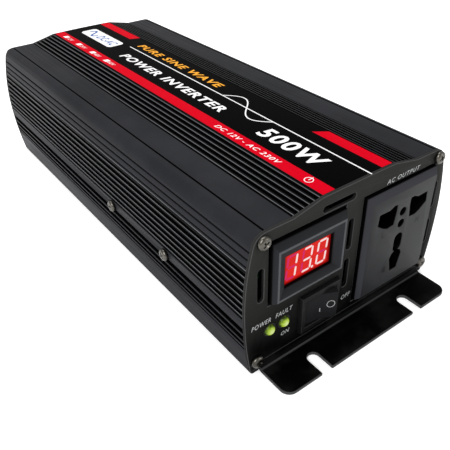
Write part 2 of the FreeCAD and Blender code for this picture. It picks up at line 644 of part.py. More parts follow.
def opening(outline, x, z, start, end):
    """A straight hole with the given outline in the XZ plane."""
    corners = [Vec(x + across, 0, z + upward) for across, upward in outline]
    return along_y(Part.Face(Part.makePolygon(corners + corners[:1])), start, end)


def socket_apertures(start, end):
    """The openings for plug pins: live and its mirror image neutral, two round, one for earth."""
    x, row, pin = size("SocketX"), size("PinRow"), size("PinPitch") / 2
    mirrored = [(-across, upward) for across, upward in reversed(PIN_OUTLINE)]
    cuts = [opening(PIN_OUTLINE, x - pin, row, start, end), opening(mirrored, x + pin, row, start, end)]
    for z in (row, row - size("RoundPinDrop")):
        cuts.append(rod(size("RoundPin") / 2, Vec(x, start, z), Vec(x, end, z)))
    half = size("EarthHeight") / 2
    left = [(-across, upward) for across, upward in reversed(EARTH_OUTLINE)]
    cuts.append(slot(size("EarthWidth"), size("EarthHeight"), x, size("EarthRow") + half, start, end))
    cuts.append(opening(EARTH_OUTLINE + left, x, size("EarthRow") - 5.2, start, end))
    return cuts


def make_socket_faceplate():
    x, z = size("SocketX"), size("SocketZ")
    width, height = size("SocketWidth"), size("SocketHeight")
    wall_y, front_y = FRONT - size("SocketWall"), FRONT - size("SocketProud")
    inside_y = FRONT + size("PanelThick")
    body = along_y(rectangle(width, height, x, z), wall_y, inside_y)
    nose = tapered(width, height, x, z, wall_y, size("SocketFrontWidth"),
                   size("SocketFrontHeight"), z - size("SocketFrontDrop"), front_y)
    plate = joined([body, nose] + panel_lip(width, height, x, z))
    return feature("socket_faceplate", plate.cut(socket_apertures(front_y - 1, inside_y + 3)))


def socket_back():
    return FRONT + size("PanelThick") + size("LipThick")


def cavity(width, height, x, z):
    return cutout(width, height, x, z, socket_back() - 1, socket_back() + size("SocketDepth") - 2)


def make_socket_body():
    x, z = size("SocketX"), size("SocketZ")
    start = socket_back()
    shell = cutout(size("SocketWidth") - 2, size("SocketHeight") - 5, x, z, start,
                   start + size("SocketDepth"))
    pin = size("PinPitch") / 2
    cuts = [cavity(12.2, 11.6, x + side * pin, size("PinRow")) for side in (-1, 1)]
    cuts.append(cavity(4.4, 11.0, x, size("PinRow") - size("RoundPinDrop") / 2))
    cuts.append(cavity(9.6, 21.6, x, size("EarthRow") - 0.6))
    return feature("socket_body", shell.cut(cuts + tail_holes()))


def contact(x, z, width, height, name):
    """A brass contact: two springy leaves on a back strap, with a tail for its lead."""
    start = socket_back() + 2
    end = start + size("ContactLength")
    thick = size("ContactThick")
    leaves = [cutout(thick, height, x + side * (width - thick) / 2, z, start, end)
              for side in (-1, 1)]
    strap = cutout(width, height, x, z, end - thick, end)
    tail = cutout(3.0, thick, x, z, end - thick, socket_back() + size("SocketDepth") + 5)
    return feature(name, joined(leaves + [strap, tail]))


def contact_places():
    """Live, neutral and earth."""
    x, pin = size("SocketX"), size("PinPitch") / 2
    return [(x - pin, size("PinRow")), (x + pin, size("PinRow")), (x, size("EarthRow"))]


def make_contacts():
    sizes = [("live", 11.6, 7.0), ("neutral", 11.6, 7.0), ("earth", 9.0, 12.0)]
    for (name, width, height), (x, z) in zip(sizes, contact_places()):
        contact(x, z, width, height, "contact_" + name)


def tail_holes():
    """Slots in the back of the socket's body for the tails of the contacts."""
    start = socket_back() + size("SocketDepth") - 3
    return [cutout(3.4, size("ContactThick") + 0.4, x, z, start, start + 4)
            for x, z in contact_places()]


# ---------------------------------------------------------------- rocker switch

def pivot():
    """Point on the rocker's axis, in the middle of the switch."""
    return Vec(size("SwitchX"), FRONT - size("SwitchProud") + size("PivotDepth"), size("SwitchZ"))


def make_switch_housing():
    x, z = size("SwitchX"), size("SwitchZ")
    wall = size("SwitchWall")
    open_w, open_h = size("SwitchOpenWidth"), size("SwitchOpenHeight")
    inside = FRONT + size("PanelThick")
    back = inside + size("SwitchDepth")
    bezel = tapered(size("SwitchWidth"), size("SwitchHeight"), x, z, FRONT,
                    size("SwitchWidth") - 1.0, size("SwitchHeight") - 1.0, z,
                    FRONT - size("SwitchProud"))
    body = cutout(open_w + 2 * wall, open_h + 2 * wall, x, z, FRONT, back)
    clips = [cutout(1.6, 6, x + side * (open_w / 2 + wall + 0.6), z, inside + 0.1, inside + 4)
             for side in (-1, 1)]
    well = cutout(open_w, open_h, x, z, FRONT - 5, back - 3)
    axis = rod(size("RockerPin") + size("PinGap"), Vec(x, pivot().y, z - open_h / 2 - wall),
               Vec(x, pivot().y, z + open_h / 2 + wall))
    blades = [cutout(5.0, 1.0, x + shift, z, back - 4, back + 1) for shift in (-6, 0, 6)]
    return feature("switch_housing", joined([bezel, body] + clips).cut([well, axis] + blades))


def make_switch_rocker():
    """Rocker, drawn level and then tipped to the on side; its pins are its axis."""
    radius = size("SwitchOpenWidth") / 2 - size("RockerGap")
    rise, dish = size("RockerRise"), size("RockerDish")
    tip = math.sqrt(radius ** 2 - rise ** 2)
    low = 3.0
    foot = math.sqrt(radius ** 2 - low ** 2)
    edges = [
        Part.Arc(Vec(-tip, -rise, 0), Vec(-radius, 0, 0), Vec(-foot, low, 0)),
        Part.LineSegment(Vec(-foot, low, 0), Vec(foot, low, 0)),
        Part.Arc(Vec(foot, low, 0), Vec(radius, 0, 0), Vec(tip, -rise, 0)),
        Part.LineSegment(Vec(tip, -rise, 0), Vec(0.8, -rise + dish, 0)),
        Part.Arc(Vec(0.8, -rise + dish, 0), Vec(0, -rise + dish + 0.06, 0),
                 Vec(-0.8, -rise + dish, 0)),
        Part.LineSegment(Vec(-0.8, -rise + dish, 0), Vec(-tip, -rise, 0)),
    ]
    height = size("SwitchOpenHeight") - 2 * size("RockerGap")
    face = Part.Face(Part.Wire([edge.toShape() for edge in edges]))
    body = face.extrude(Vec(0, 0, height))
    body.translate(Vec(0, 0, -height / 2))
    reach = size("SwitchOpenHeight") / 2 + size("SwitchWall") - size("SlipGap")
    axle = rod(size("RockerPin"), Vec(0, 0, -reach), Vec(0, 0, reach))
    stem = solid_box(-1.2, 1.2, 2, 8.0, -2, 2)
    tipped = FreeCAD.Rotation(Vec(0, 0, 1), -size("RockerTilt"))
    return feature("switch_rocker", joined([body, axle, stem]), FreeCAD.Placement(pivot(), tipped))


def make_switch_terminals():
    back = FRONT + size("PanelThick") + size("SwitchDepth")
    blades = [cutout(4.8, 0.8, size("SwitchX") + shift, size("SwitchZ"), back - 2.5, back + 7)
              for shift in (-6, 0, 6)]
    return feature("switch_terminals", group(blades))


# ---------------------------------------------------------------- lamps

def lamp(name, x):
    radius, proud = size("LampDiameter") / 2, size("LampProud")
    z, face = size("LampZ"), FRONT
    ball = Part.makeSphere(radius, Vec(x, face - proud + radius, z))
    ball = ball.common(solid_box(x - 5, x + 5, face - proud - 1, face - proud + radius, z - 5, z + 5))
    barrel = rod(radius, Vec(x, face - proud + radius, z), Vec(x, face + 4, z))
    inside = face + size("PanelThick") + 0.1
    collar = rod(radius + size("LampCollar") / 2, Vec(x, inside, z), Vec(x, inside + 1, z))
    legs = [solid_box(x + side * 1.27 - 0.25, x + side * 1.27 + 0.25, face + 3.5, face + 12,
                      z - 0.25, z + 0.25) for side in (-1, 1)]
    return feature(name, joined([ball, barrel, collar] + legs))


# ---------------------------------------------------------------- label

def make_top_label():
    """Thin printed sheet that follows the crown of the case."""
    half, thick = size("LabelHalfWidth"), size("LabelThick")
    top = size("CaseHeight")
    fall = size("CrownFall") * (half / size("CrownHalfWidth")) ** 2
    lower = [Vec(-half, 0, top - fall), Vec(0, 0, top), Vec(half, 0, top - fall)]
    lift = Vec(0, 0, thick)
    upper = [point + lift for point in lower]
    edges = [Part.Arc(*lower).toShape(), Part.LineSegment(lower[2], upper[2]).toShape(),
             Part.Arc(*upper[::-1]).toShape(), Part.LineSegment(upper[0], lower[0]).toShape()]
    return feature("top_label", along_y(Part.Face(Part.Wire(edges)), -HALF_LENGTH, HALF_LENGTH))


# ---------------------------------------------------------------- fan

def fan_screw_places():
    half = size("FanScrewPitch") / 2
    return [(size("FanX") + i * half, size("FanZ") + k * half) for i in (-1, 1) for k in (-1, 1)]


def fan_front():
    """The face of the fan that lies on the inside of the rear panel."""
    return REAR - size("PanelThick")


def make_fan_frame():
    x, z, face = size("FanX"), size("FanZ"), fan_front()
    thick = size("FanThick")
    frame = cutout(size("FanSize"), size("FanSize"), x, z, face - thick, face)
    frame = frame.cut(rod(size("FanBore") / 2, Vec(x, face - thick - 1, z), Vec(x, face + 1, z)))
    motor = rod(size("FanHub") - 0.5, Vec(x, face - thick, z), Vec(x, face - thick + 2.2, z))
    arms = []
    for index in range(4):
        arm = solid_box(0, size("FanBore") / 2 + 1, face - thick, face - thick + 2.0, -1.0, 1.0)
        arm.rotate(Vec(0, 0, 0), Vec(0, 1, 0), 45 + 90 * index)
        arm.translate(Vec(x, 0, z))
        arms.append(arm)
    post = rod(4.0, Vec(x, face - thick + 2.0, z), Vec(x, face - thick + 8.0, z))
    bearing = rod(size("FanShaft") + size("PinGap"), Vec(x, face - thick + 0.8, z),
                  Vec(x, face - thick + 9, z))
    holes = [rod(SCREW_HOLE / 2, Vec(px, face - thick - 1, pz), Vec(px, face + 1, pz))
             for px, pz in fan_screw_places()]
    return feature("fan_frame", joined([frame, motor, post] + arms).cut([bearing] + holes))


def make_fan_rotor():
    x, z, face = size("FanX"), size("FanZ"), fan_front()
    thick, hub = size("FanThick"), size("FanHub")
    back, front = face - thick + 2.8, face - 0.9
    cup = rod(hub, Vec(0, back, 0), Vec(0, front, 0))
    cup = cup.cut(rod(hub - 1.4, Vec(0, back - 1, 0), Vec(0, front - 1.6, 0)))
    shaft = rod(size("FanShaft"), Vec(0, face - thick + 1.2, 0), Vec(0, front - 1, 0))
    reach = size("FanBore") / 2 - size("BladeGap")
    blade = solid_box(hub - 1, reach + 2, -7.0, 7.0, -0.6, 0.6)
    blade.rotate(Vec(0, 0, 0), Vec(1, 0, 0), 90 - size("BladePitchAngle"))
    blade.translate(Vec(0, (back + front) / 2, 0))
    span = rod(reach, Vec(0, back + 0.3, 0), Vec(0, front - 0.3, 0))
    blade = blade.common(span)
    blades = []
    for index in range(count("BladeCount")):
        copy = blade.copy()
        copy.rotate(Vec(0, 0, 0), Vec(0, 1, 0), 360.0 * index / count("BladeCount"))
        blades.append(copy)
    core = rod(hub - 1.4, Vec(0, back - 1, 0), Vec(0, front - 1.6, 0))
    rotor = joined([cup] + blades).cut(core).fuse(shaft).removeSplitter()
    return feature("fan_rotor", rotor, FreeCAD.Placement(Vec(x, 0, z), FreeCAD.Rotation()))


def make_fan_guard():
    """Finger guard: round wires on a cross of two spokes that ends in screw eyes."""
    x, z, wire = size("FanX"), size("FanZ"), size("GuardWire")
    out = REAR + 3.6
    rings = []
    for index in range(count("GuardRings")):
        radius = 5.0 + index * (size("FanBore") / 2 - 5.0) / (count("GuardRings") - 1)
        rings.append(Part.makeTorus(radius, wire, Vec(x, out, z), Vec(0, 1, 0)))
    pieces = list(rings)
    span = size("FanScrewPitch") / 2
    for side in (-1, 1):
        ends = [Vec(-span, 0, -span * side), Vec(span, 0, span * side)]
        centre = Vec(x, out - 1.3, z)
        turn_in = 0.78
        pieces.append(rod(wire, centre + ends[0] * turn_in, centre + ends[1] * turn_in))
        for end in ends:
            pieces.append(rod(wire, centre + end * turn_in, Vec(x, REAR + wire, z) + end * 0.86))
            pieces.append(Part.makeSphere(wire, centre + end * turn_in))
    for px, pz in fan_screw_places():
        eye = rod(SCREW_HOLE / 2 + 2.5, Vec(px, REAR, pz), Vec(px, REAR + 1.2, pz))
        pieces.append(eye)
    guard = joined(pieces)
    holes = [rod(SCREW_HOLE / 2, Vec(px, REAR - 1, pz), Vec(px, REAR + 6, pz))
             for px, pz in fan_screw_places()]
    return feature("fan_guard", guard.cut(holes))


def make_fan_screws():
    screws = [screw(Vec(px, REAR + 1.2, pz), Vec(0, 1, 0), size("FanScrewLength"))
              for px, pz in fan_screw_places()]
    return feature("fan_screws", group(screws))


# ---------------------------------------------------------------- terminals

def insulator_neck():
    return size("StudRadius") + 1.6


def washer_place():
    return REAR + size("InsulatorThick")


def knob_place():
    return washer_place() + size("WasherThick")


def terminal(colour, x):
    z = size("TerminalZ")
    stud, neck = size("StudRadius"), insulator_neck()
    panel_in = REAR - size("PanelThick")
    cap = rod(size("InsulatorRadius"), Vec(x, REAR, z), Vec(x, REAR + size("InsulatorThick"), z))
    sleeve = rod(neck, Vec(x, panel_in - 3, z), Vec(x, REAR, z))
    bore = rod(stud + size("SlipGap"), Vec(x, panel_in - 5, z), Vec(x, REAR + 20, z))
    feature("terminal_insulator_" + colour, joined([cap, sleeve]).cut(bore))
    tip = knob_place() + size("KnobLength") - 1.5
    bolt = rod(stud, Vec(x, panel_in - 16, z), Vec(x, tip, z))
    flange = rod(neck, Vec(x, panel_in - 5, z), Vec(x, panel_in - 3.1, z))
    feature("terminal_stud_" + colour, joined([bolt, flange]))
    washer = rod(size("KnobRadius") - 0.8, Vec(x, washer_place(), z), Vec(x, knob_place() - 0.05, z))
    feature("clamp_washer_" + colour, washer.cut(
        rod(stud + size("KnobTravelGap"), Vec(x, REAR, z), Vec(x, REAR + 20, z))))
    feature("terminal_knob_" + colour, knob(x, z))


def knob(x, z):
    """Fluted screw cap, blind, with a shoulder that bears on the clamp washer."""
    radius, length, start = size("KnobRadius"), size("KnobLength"), knob_place()
    shoulder = rod(radius, Vec(x, start, z), Vec(x, start + 1.6, z))
    grip = rod(radius - 0.5, Vec(x, start + 1.6, z), Vec(x, start + length, z))
    flutes = []
    for index in range(count("KnobFlutes")):
        angle = 2 * math.pi * index / count("KnobFlutes")
        px, pz = x + radius * 1.06 * math.cos(angle), z + radius * 1.06 * math.sin(angle)
        flutes.append(rod(1.25, Vec(px, start + 1.6, pz), Vec(px, start + length + 1, pz)))
    bore = rod(size("StudRadius") + size("KnobTravelGap"), Vec(x, start - 1, z),
               Vec(x, start + length - 1.3, z))
    body = shoulder.fuse(grip)
    rim = [edge for edge in body.Edges if abs(edge.BoundBox.YMin - (start + length)) < 1e-6]
    return body.makeFillet(1.0, rim).cut(flutes + [bore])


def make_terminal_nuts():
    """Hexagon nuts that hold the studs and the battery leads' lugs inside."""
    start = REAR - size("PanelThick") - 8.2
    nuts = []
    for x in (size("TerminalRedX"), size("TerminalBlackX")):
        corners = [Vec(x + 5.6 * math.cos(math.radians(60 * i)), start,
                       size("TerminalZ") + 5.6 * math.sin(math.radians(60 * i))) for i in range(7)]
        nut = Part.Face(Part.makePolygon(corners)).extrude(Vec(0, 3, 0))
        nuts.append(nut.cut(rod(size("StudRadius") + size("SlipGap"),
                                Vec(x, start - 1, size("TerminalZ")),
                                Vec(x, start + 5, size("TerminalZ")))))
    return feature("terminal_nuts", group(nuts))


# ---------------------------------------------------------------- inside

BOARD_TOP = "Sizes.BoardHeight + Sizes.BoardThick"


def board_top():
    return size("BoardHeight") + size("BoardThick")


def standoff_places():
    half_x = BOARD_WIDTH / 2 - size("StandoffInset")
    half_y = BOARD_LENGTH / 2 - size("StandoffEndInset")
    return [(i * half_x, k * half_y) for i in (-1, 1) for k in (-1, 0, 1)]


def make_main_board():
    board = solid_box(-BOARD_WIDTH / 2, BOARD_WIDTH / 2, -BOARD_LENGTH / 2, BOARD_LENGTH / 2,
                      size("BoardHeight"), board_top())
    holes = [rod(SCREW_HOLE / 2, Vec(x, y, 0), Vec(x, y, board_top() + 1))
             for x, y in standoff_places()]
    return feature("main_board", board.cut(holes))


def make_standoffs():
    wall = size("CaseWall")
    posts = []
    for x, y in standoff_places():
        post = rod(size("StandoffRadius"), Vec(x, y, wall + size("SheetThick")),
                   Vec(x, y, size("BoardHeight")))
        posts.append(post.cut(rod(SCREW_HOLE / 2, Vec(x, y, wall + 1),
                                  Vec(x, y, size("BoardHeight") + 1))))
    feature("board_standoffs", group(posts))
    screws = [screw(Vec(x, y, board_top()), Vec(0, 0, 1), size("BoardScrewLength"))
              for x, y in standoff_places()]
    feature("board_screws", group(screws))


def make_insulation_sheet():
    width = "(Sizes.CaseWidth / 2 - Sizes.BoardSideGap)"
    length = "(Sizes.CaseLength / 2 - Sizes.BoardEndGap)"
    return keep(block("insulation_sheet", "2 * " + width, "2 * " + length, "Sizes.SheetThick",
                      "-" + width, "-" + length, "Sizes.CaseWall"), "insulation_sheet")


def make_transformer(name, y):
    """Ferrite core of two E halves round a wound coil."""
    half, base, top = size("CoreWidth") / 2, board_top(), board_top() + size("CoreHeight")
    near, far = y - size("CoreDepth") / 2, y + size("CoreDepth") / 2
    leg, post, gap = size("CoreLeg"), size("CorePost") / 2, size("CoilGap")
    core = solid_box(-half, half, near, far, base, top)
    outer = half - leg + 0.5
    windows = [solid_box(left, right, near - 1, far + 1, base + leg, top - leg)
               for left, right in ((-outer, -post), (post, outer))]
    feature(name + "_core", core.cut(windows))
    out = size("CoilOverhang")
    coil = solid_box(-size("CoilWidth") / 2, size("CoilWidth") / 2, near - out, far + out,
                     base + leg + gap, top - leg - gap)
    corners = [edge for edge in coil.Edges if edge.BoundBox.ZLength > leg]
    coil = coil.makeFillet(out - 1, corners)
    inner = solid_box(-post - gap, post + gap, near - gap, far + gap, base, top)
    feature(name + "_coil", coil.cut(inner))


def make_choke():
    """Toroidal output choke standing on its edge: a core and its winding turns."""
    radius, thick, y = size("ChokeRadius"), size("ChokeThick"), size("ChokeY")
    z = board_top() + radius + size("TurnRadius") + size("TurnWire") + 0.3
    feature("filter_choke_core", Part.makeTorus(radius, thick, Vec(0, y, z), Vec(0, 1, 0)))
    turns = []
    for index in range(count("TurnCount")):
        angle = 2 * math.pi * index / size("TurnPlaces") - 1.0
        centre = Vec(radius * math.cos(angle), y, z + radius * math.sin(angle))
        tangent = Vec(-math.sin(angle), 0, math.cos(angle))
        turns.append(Part.makeTorus(size("TurnRadius"), size("TurnWire"), centre, tangent))
    return feature("filter_choke_winding", group(turns))


def capacitor(x, y, radius, height):
    body = rod(radius, Vec(x, y, board_top()), Vec(x, y, board_top() + height))
    rim = [edge for edge in body.Edges if abs(edge.BoundBox.ZMin - board_top() - height) < 1e-6
           and edge.BoundBox.ZLength < 1e-6]
    return body.makeFillet(0.8, rim)


def make_capacitors():
    feature("bus_capacitor", capacitor(size("BusCapX"), size("ChokeY"), size("BusCapRadius"),
                                       size("BusCapHeight")))
    pitch, y = size("InputCapPitch"), BOARD_LENGTH / 2 - size("InputCapEnd")
    feature("input_capacitors",
            group([capacitor(pitch * (index - 1.5), y, size("InputCapRadius"), size("InputCapHeight"))
                   for index in range(4)]))


def bar_middle():
    places = side_screw_places()
    return (places[0] + places[1]) / 2


def make_heat_bars():
    """Aluminium bars screwed to the case's sides, with the transistors clamped to them."""
    low = size("SideScrewHeight") - size("BarHeight") / 2
    high = low + size("BarHeight")
    wall = size("CaseWall")
    far = min(side_x(low, wall + size("TongueWall") + size("SlipGap")), side_x(high, wall))
    far -= size("BarGap")
    near = far - size("BarThick")
    start, end = bar_middle() - size("BarLength") / 2, bar_middle() + size("BarLength") / 2
    seat = side_x(size("BandHigh")) + 0.02
    for name, side in (("left", -1), ("right", 1)):
        bar = solid_box(min(side * near, side * far), max(side * near, side * far), start, end, low, high)
        holes = [rod(SCREW_HOLE / 2, Vec(0, y, size("SideScrewHeight")),
                     Vec(side * HALF_WIDTH, y, size("SideScrewHeight"))) for y in side_screw_places()]
        feature("heat_bar_" + name, bar.cut(holes))
        feature("transistors_" + name, group(transistors(side, near)))
        screws = [screw(Vec(side * seat, y, size("SideScrewHeight")), Vec(side, 0, 0),
                        size("SideScrewLength")) for y in side_screw_places()]
        feature("side_screws_" + name, group(screws))


def transistors(side, face_x):
    """Four power transistors standing against a bar, each with three legs in the board."""
    half, low = size("TransistorWidth") / 2, board_top() + size("TransistorLift")
    back = face_x - size("SlipGap")
    front = back - size("TransistorThick")
    first = bar_middle() - size("TransistorPitch") * (size("TransistorCount") - 1) / 2
    pieces = []
    for index in range(count("TransistorCount")):
        y = first + index * size("TransistorPitch")
        body = solid_box(front, back, y - half, y + half, low, low + size("TransistorHeight"))
        legs = [solid_box(front + 1.7, front + 2.5, y + turn * size("LegPitch") - 0.4,
                          y + turn * size("LegPitch") + 0.4, board_top(), low + 1) for turn in (-1, 0, 1)]
        whole = joined([body] + legs)
        if side < 0:
            whole = whole.mirror(Vec(0, 0, 0), Vec(1, 0, 0))
        pieces.append(whole)
    return pieces


def make_small_parts():
    plate_body("control_board", "Sizes.ControlLength", "Sizes.ControlHeight", "Sizes.BoardThick",
               "YZ_Plane", "Sizes.ControlX", "Sizes.ControlY",
               BOARD_TOP + " + Sizes.ControlHeight / 2 + 0.2")
    round_body("alarm_buzzer", "Sizes.BuzzerRadius", "Sizes.BuzzerHeight", "XY_Plane",
               "Sizes.BuzzerX", "Sizes.BuzzerY", BOARD_TOP)
    thick, wide = size("FuseThick") / 2, size("FuseWidth") / 2
    y, low = size("FuseY"), board_top()
    places = [size("FuseX") + step * size("FusePitch") for step in (-1, 0, 1)]
    feature("fuses", group([solid_box(x - thick, x + thick, y - wide, y + wide, low,
                                      low + size("FuseHeight")) for x in places]))


def lead(points, radius, bend):
    """A held lead: straight runs joined by arcs, as one solid."""
    path = []
    start = points[0]
    for index in range(1, len(points) - 1):
        corner, after = points[index], points[index + 1]
        first = (start - corner).normalize()
        second = (after - corner).normalize()
        half_turn = first.getAngle(second) / 2
        cut_back = bend / math.tan(half_turn)
        enter, leave = corner + first * cut_back, corner + second * cut_back
        middle_way = (first + second).normalize()
        middle = corner + middle_way * (bend / math.sin(half_turn) - bend)
        path.append(Part.LineSegment(start, enter).toShape())
        path.append(Part.Arc(enter, middle, leave).toShape())
        start = leave
    path.append(Part.LineSegment(start, points[-1]).toShape())
    circle = Part.Wire([Part.Circle(points[0], points[1] - points[0], radius).toShape()])
    return Part.Wire(path).makePipeShell([circle], True, True)


def make_leads():
    """Battery leads from the studs to the board, and the socket's three leads."""
    run, foot = size("LeadRun"), board_top() + 0.2
    stud_end, z = REAR - size("PanelThick") - 17, size("TerminalZ")
    for colour, x in (("red", size("TerminalRedX")), ("black", size("TerminalBlackX"))):
        points = [Vec(x, stud_end, z), Vec(x, stud_end - run, z), Vec(x, stud_end - run, foot)]
        feature("dc_lead_" + colour, lead(points, size("BatteryLead"), size("BatteryBend")))
    back = socket_back() + size("SocketDepth") + 5.2
    wires = [lead([Vec(x, back, row), Vec(x, back + run, row), Vec(x, back + run, foot)],
                  size("SocketLead"), size("SocketBend")) for x, row in contact_places()]
    feature("ac_leads", group(wires))


# ---------------------------------------------------------------- assembly

make_case_top()
make_case_base()
make_front_panel()
make_rear_panel()
feature("front_panel_screws",
        group([screw(Vec(x, FRONT, z), Vec(0, -1, 0)) for x, z in panel_screw_places()]))
feature("rear_panel_screws",
        group([screw(Vec(x, REAR, z), Vec(0, 1, 0)) for x, z in panel_screw_places()]))
make_top_label()
make_display_bezel()
make_display_window()
make_display_module()
make_display_board()
make_socket_faceplate()
make_socket_body()
make_contacts()
make_switch_housing()
make_switch_rocker()
make_switch_terminals()
lamp("power_led", size("PowerLampX"))
lamp("fault_led", size("FaultLampX"))
make_fan_frame()
make_fan_rotor()
make_fan_guard()
make_fan_screws()
terminal("red", size("TerminalRedX"))
terminal("black", size("TerminalBlackX"))
make_terminal_nuts()
make_main_board()
make_standoffs()
make_insulation_sheet()
make_transformer("front_transformer", size("FrontTransformerY"))
make_transformer("rear_transformer", size("RearTransformerY"))
make_choke()
make_capacitors()
make_heat_bars()
make_small_parts()
make_leads()
doc.recompute()

for obj in doc.Objects:
    if "Invalid" in obj.State or "Error" in obj.State:
        raise RuntimeError("failed object: " + obj.Name)
for node in NODES:
    if node.Shape.isNull() or not node.Shape.isValid():
        raise RuntimeError("bad shape: " + node.Label)

os.makedirs("parts", exist_ok=True)
for node in NODES:
    node.Shape.exportStep("parts/" + node.Label + ".step")
print("sub-parts", len(NODES))
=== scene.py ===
"""Looks of the power inverter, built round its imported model. Metres, in the model's frame."""

import bpy
import bmesh
import json
from math import cos, pi, radians, sin, sqrt
from mathutils import Matrix, Vector
from mathutils.bvhtree import BVHTree


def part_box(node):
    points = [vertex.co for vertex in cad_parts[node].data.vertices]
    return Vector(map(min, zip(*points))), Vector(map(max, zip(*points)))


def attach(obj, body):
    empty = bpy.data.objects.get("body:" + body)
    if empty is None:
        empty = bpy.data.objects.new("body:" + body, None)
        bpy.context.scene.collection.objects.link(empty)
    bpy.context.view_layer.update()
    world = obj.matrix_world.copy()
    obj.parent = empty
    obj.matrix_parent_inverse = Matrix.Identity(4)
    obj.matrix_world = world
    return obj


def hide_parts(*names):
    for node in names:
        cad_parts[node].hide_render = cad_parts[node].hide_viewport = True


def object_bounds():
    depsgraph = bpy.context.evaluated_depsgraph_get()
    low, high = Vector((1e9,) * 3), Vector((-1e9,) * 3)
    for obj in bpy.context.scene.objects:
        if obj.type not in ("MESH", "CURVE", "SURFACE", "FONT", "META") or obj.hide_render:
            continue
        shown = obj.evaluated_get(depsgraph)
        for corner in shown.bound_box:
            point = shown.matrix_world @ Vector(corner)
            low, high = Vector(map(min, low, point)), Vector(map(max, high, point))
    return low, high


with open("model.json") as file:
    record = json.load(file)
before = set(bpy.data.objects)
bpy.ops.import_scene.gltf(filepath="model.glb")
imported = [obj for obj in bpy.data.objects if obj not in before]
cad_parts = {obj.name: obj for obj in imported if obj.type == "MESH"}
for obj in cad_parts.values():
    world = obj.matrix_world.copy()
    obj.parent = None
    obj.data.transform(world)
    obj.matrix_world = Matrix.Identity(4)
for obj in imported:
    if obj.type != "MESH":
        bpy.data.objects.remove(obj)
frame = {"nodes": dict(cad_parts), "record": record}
cad_low, cad_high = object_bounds()
nodes = frame["nodes"]
MM = 0.001
MERGE = 2e-6                      # corners closer than this are one corner


# ------------------------------------------------------------------ places read from the model

def middle(node):
    low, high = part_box(node)
    return (low + high) / 2


def put(name, data):
    """An object in the scene, at the origin."""
    item = bpy.data.objects.new(name, data)
    bpy.context.scene.collection.objects.link(item)
    return item


def baked(item):
    """What an object's modifiers make of it, as a plain mesh."""
    return bpy.data.meshes.new_from_object(item.evaluated_get(bpy.context.evaluated_depsgraph_get()))


PANEL_THICK = 1.5 * MM
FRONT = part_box("case_top")[0].y - PANEL_THICK        # outer face of the front panel
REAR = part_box("case_top")[1].y + PANEL_THICK         # outer face of the rear panel
LABEL_LOW, LABEL_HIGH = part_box("top_label")
CROWN_FALL, CROWN_HALF = 0.2 * MM, 19.4 * MM         # how far the crown drops at its edge
LABEL_SET = 0.03 * MM                                # the film lies this much under the model's
AHEAD, BEHIND, UPWARD = Vector((0, -1, 0)), Vector((0, 1, 0)), Vector((0, 0, 1))
LEFTWARD, RIGHTWARD = Vector((-1, 0, 0)), Vector((1, 0, 0))


# ------------------------------------------------------------------ node trees

class Value:
    """An output socket that adds, multiplies and compares like a number."""

    def __init__(self, net, socket):
        self.net, self.socket = net, socket

    def math(self, operation, *terms, **settings):
        return self.net.node("ShaderNodeMath", {"operation": operation, **settings},
                             dict(enumerate(terms)))

    def __add__(self, other): return self.math("ADD", self, other)
    def __radd__(self, other): return self.math("ADD", other, self)
    def __sub__(self, other): return self.math("SUBTRACT", self, other)
    def __rsub__(self, other): return self.math("SUBTRACT", other, self)
    def __mul__(self, other): return self.math("MULTIPLY", self, other)
    def __rmul__(self, other): return self.math("MULTIPLY", other, self)
    def __truediv__(self, other): return self.math("DIVIDE", self, other)
    def __gt__(self, other): return self.math("GREATER_THAN", self, other)
    def __lt__(self, other): return self.math("LESS_THAN", self, other)
    def __mod__(self, other): return self.math("FLOORED_MODULO", self, other)
    def __pow__(self, other): return self.math("POWER", self, other)
    def __abs__(self): return self.math("ABSOLUTE", self)
    def clamped(self): return self.math("ADD", self, 0.0, use_clamp=True)
    def highest(self, other): return self.math("MAXIMUM", self, other)

    def ramp(self, low, high, to_low=0.0, to_high=1.0):
        """A smooth step from to_low at low to to_high at high."""
        return self.net.node("ShaderNodeMapRange", {"interpolation_type": "SMOOTHSTEP"},
                             {0: self, 1: low, 2: high, 3: to_low, 4: to_high})

    def near(self, centre, half, soft):
        """1 within half of centre, fading to 0 over soft."""
        return abs(self - centre).ramp(half, half + soft, 1.0, 0.0)


class Net:
    """A node tree; every node comes from one call."""

    def __init__(self, tree):
        self.tree = tree

    def node(self, kind, settings=None, inputs=None, output=0):
        made = self.tree.nodes.new(kind)
        for name, value in (settings or {}).items():
            if name == "stops":
                ramp = made.color_ramp
                while len(ramp.elements) < len(value):
                    ramp.elements.new(0.5)
                for element, (place, colour) in zip(ramp.elements, value):
                    element.position, element.color = place, (*colour, 1)
            else:
                setattr(made, name, value)
        for name, value in (inputs or {}).items():
            if isinstance(value, Value):
                self.tree.links.new(value.socket, made.inputs[name])
            elif value is not None:
                made.inputs[name].default_value = value
        return Value(self, made.outputs[output])


